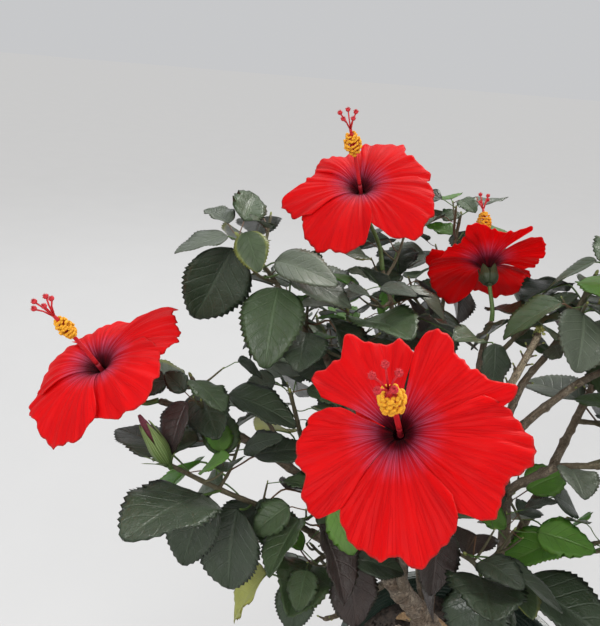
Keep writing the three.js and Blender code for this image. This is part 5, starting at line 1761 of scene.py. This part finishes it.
def calyx_finish(name, low, high, rib):
    finish = Finish(name, Coat_Weight=0.1, Coat_Roughness=0.4)
    where, along, across, _ = finish.place()
    ribs = 1 - finish.step(finish.math("PINGPONG", across * 2.5, 0.5), 0.02, 0.16)
    grain = finish.noise(where, 7, 4)
    colour = finish.blend(along, low, high)
    colour = finish.blend(ribs * 0.5, colour, rib)
    colour = finish.blend(finish.step(grain, 0.55, 0.75) * 0.3, colour, CALYX_SPECK)
    finish.colour(colour)
    finish.roughness(0.45 + grain * 0.2)
    finish.bump(ribs * 0.6 + grain * 0.3, 0.0006, 0.8)
    finish.let_light_through(0.08, rib)
    return finish.material


add_finishes(calyx_finish, {
    "calyx": ((0.022, 0.040, 0.014), (0.050, 0.070, 0.024), (0.08, 0.11, 0.045)),
    "bud_calyx": ((0.060, 0.125, 0.020), (0.16, 0.23, 0.060), (0.54, 0.62, 0.28)),
})
print("finishes with calyces:", len(materials))

# %% [markdown]
# ## Finishes of pot, soil and litter
#
# The pot is moulded plastic, a green so dark that it reads as black beside the leaves, with dust that
# gathers towards its foot and fine scratches. Soil is dark and damp with paler crumbs. Fallen petals dry to a
# wine brown.

# %% Pot, soil and litter
POT_GREENS = ((0.010, 0.022, 0.016), (0.020, 0.038, 0.029))
POT_DUST = (0.13, 0.12, 0.095)
POT_SCRATCH = (0.09, 0.11, 0.10)


def pot_finish(name, dark, light):
    finish = Finish(name, Coat_Weight=0.15, Coat_Roughness=0.25)
    where, *_, z = finish.place()
    cloud = finish.step(finish.noise(where, 0.022, 5), 0.42, 0.72)
    dust = finish.step(finish.noise(where, 0.35, 6, 0.7), 0.5, 0.78)
    scratch = finish.noise(finish.stretched(where, (1.0, 1.0, 0.12)), 0.9, 3)
    scratch = 1 - finish.step(finish.math("ABSOLUTE", scratch - 0.5), 0.0, 0.012)
    splash = 1 - finish.step(z, 10, 75)
    colour = finish.blend(cloud, dark, light)
    colour = finish.blend(dust * 0.28 + splash * dust * 0.4, colour, POT_DUST)
    colour = finish.blend(scratch * 0.2, colour, POT_SCRATCH)
    finish.colour(colour)
    finish.roughness(0.27 + cloud * 0.1 + dust * 0.3)
    finish.bump(finish.noise(where, 0.9, 4) * 0.4 - scratch * 0.3, 0.0005, 0.6)
    return finish.material


def soil_finish(name, dark, light):
    finish = Finish(name)
    where, *_ = finish.place()
    clods = finish.noise(where, 0.16, 6, 0.65)
    grains = finish.noise(where, 1.1, 4, 0.7)
    colour = finish.blend(finish.step(clods, 0.35, 0.7), dark, light)
    colour = finish.blend(finish.step(grains, 0.64, 0.72) * 0.6, colour, scaled(light, 2.2))
    finish.colour(colour)
    finish.roughness(0.93 - clods * 0.2)
    finish.bump(clods * 0.6 + grains * 0.4, 0.0022, 0.9)
    return finish.material


def dry_finish(name, base, other, vein):
    finish = Finish(name)
    where, _, out, _ = finish.place()
    own = finish.stretched(where, (1.0, 0.7, 41.0))
    folds = finish.noise(finish.stretched(own, (9.0, 2.0, 1.0)), 1.4, 4)
    midrib = 1 - finish.step(finish.math("ABSOLUTE", out), 0.03, 0.12)
    colour = finish.blend(finish.step(folds, 0.3, 0.7), base, other)
    colour = finish.blend(midrib * 0.5, colour, vein)
    finish.colour(colour)
    finish.roughness(0.7 + folds * 0.2)
    finish.bump(folds + midrib * 0.4, 0.0014, 0.9)
    finish.let_light_through(0.12, other)
    return finish.material


add_finishes(pot_finish, {"pot_plastic": POT_GREENS})
add_finishes(soil_finish, {
    "soil": ((0.014, 0.010, 0.008), (0.050, 0.034, 0.024)),
    "pale_grit": ((0.16, 0.13, 0.10), (0.24, 0.20, 0.16)),
})
add_finishes(dry_finish, {
    "dry_petal": ((0.16, 0.022, 0.024), (0.30, 0.060, 0.045), (0.10, 0.02, 0.02)),
    "dry_leaf": ((0.16, 0.095, 0.045), (0.30, 0.20, 0.10), (0.34, 0.26, 0.15)),
})
print("finishes:", len(materials))

# %% [markdown]
# ## Make the objects and hand them over
#
# Each pile becomes one object, and the solids that it was grown from are hidden, so it takes their place.

# %% Make every pile
masses_of = {side: [name for name in MASSES if side_of(name) == side] for side in LEAF_PILES}
with_buds = [name for name, mass in MASSES.items() if "bud" in mass]
hand_over = [(bark, "bark", list(LIMBS)), (twigs, "bark", list(MASSES)), (hearts, "petals", list(BLOOMS)),
             (greens, "petals", [*BLOOMS, *with_buds]), (pot, "pot", ["pot"]), (soil, "soil", ["soil"]),
             (crumbs, "soil", ["soil"]), (litter, "soil", ["soil"])]
hand_over += [(pile, "foliage", masses_of[side]) for side, pile in LEAF_PILES.items()]
hand_over += [(pile, "petals", [name]) for name, pile in petal_piles.items()]
for pile, slot, nodes in hand_over:
    piece = pile.make(materials)
    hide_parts(*nodes)
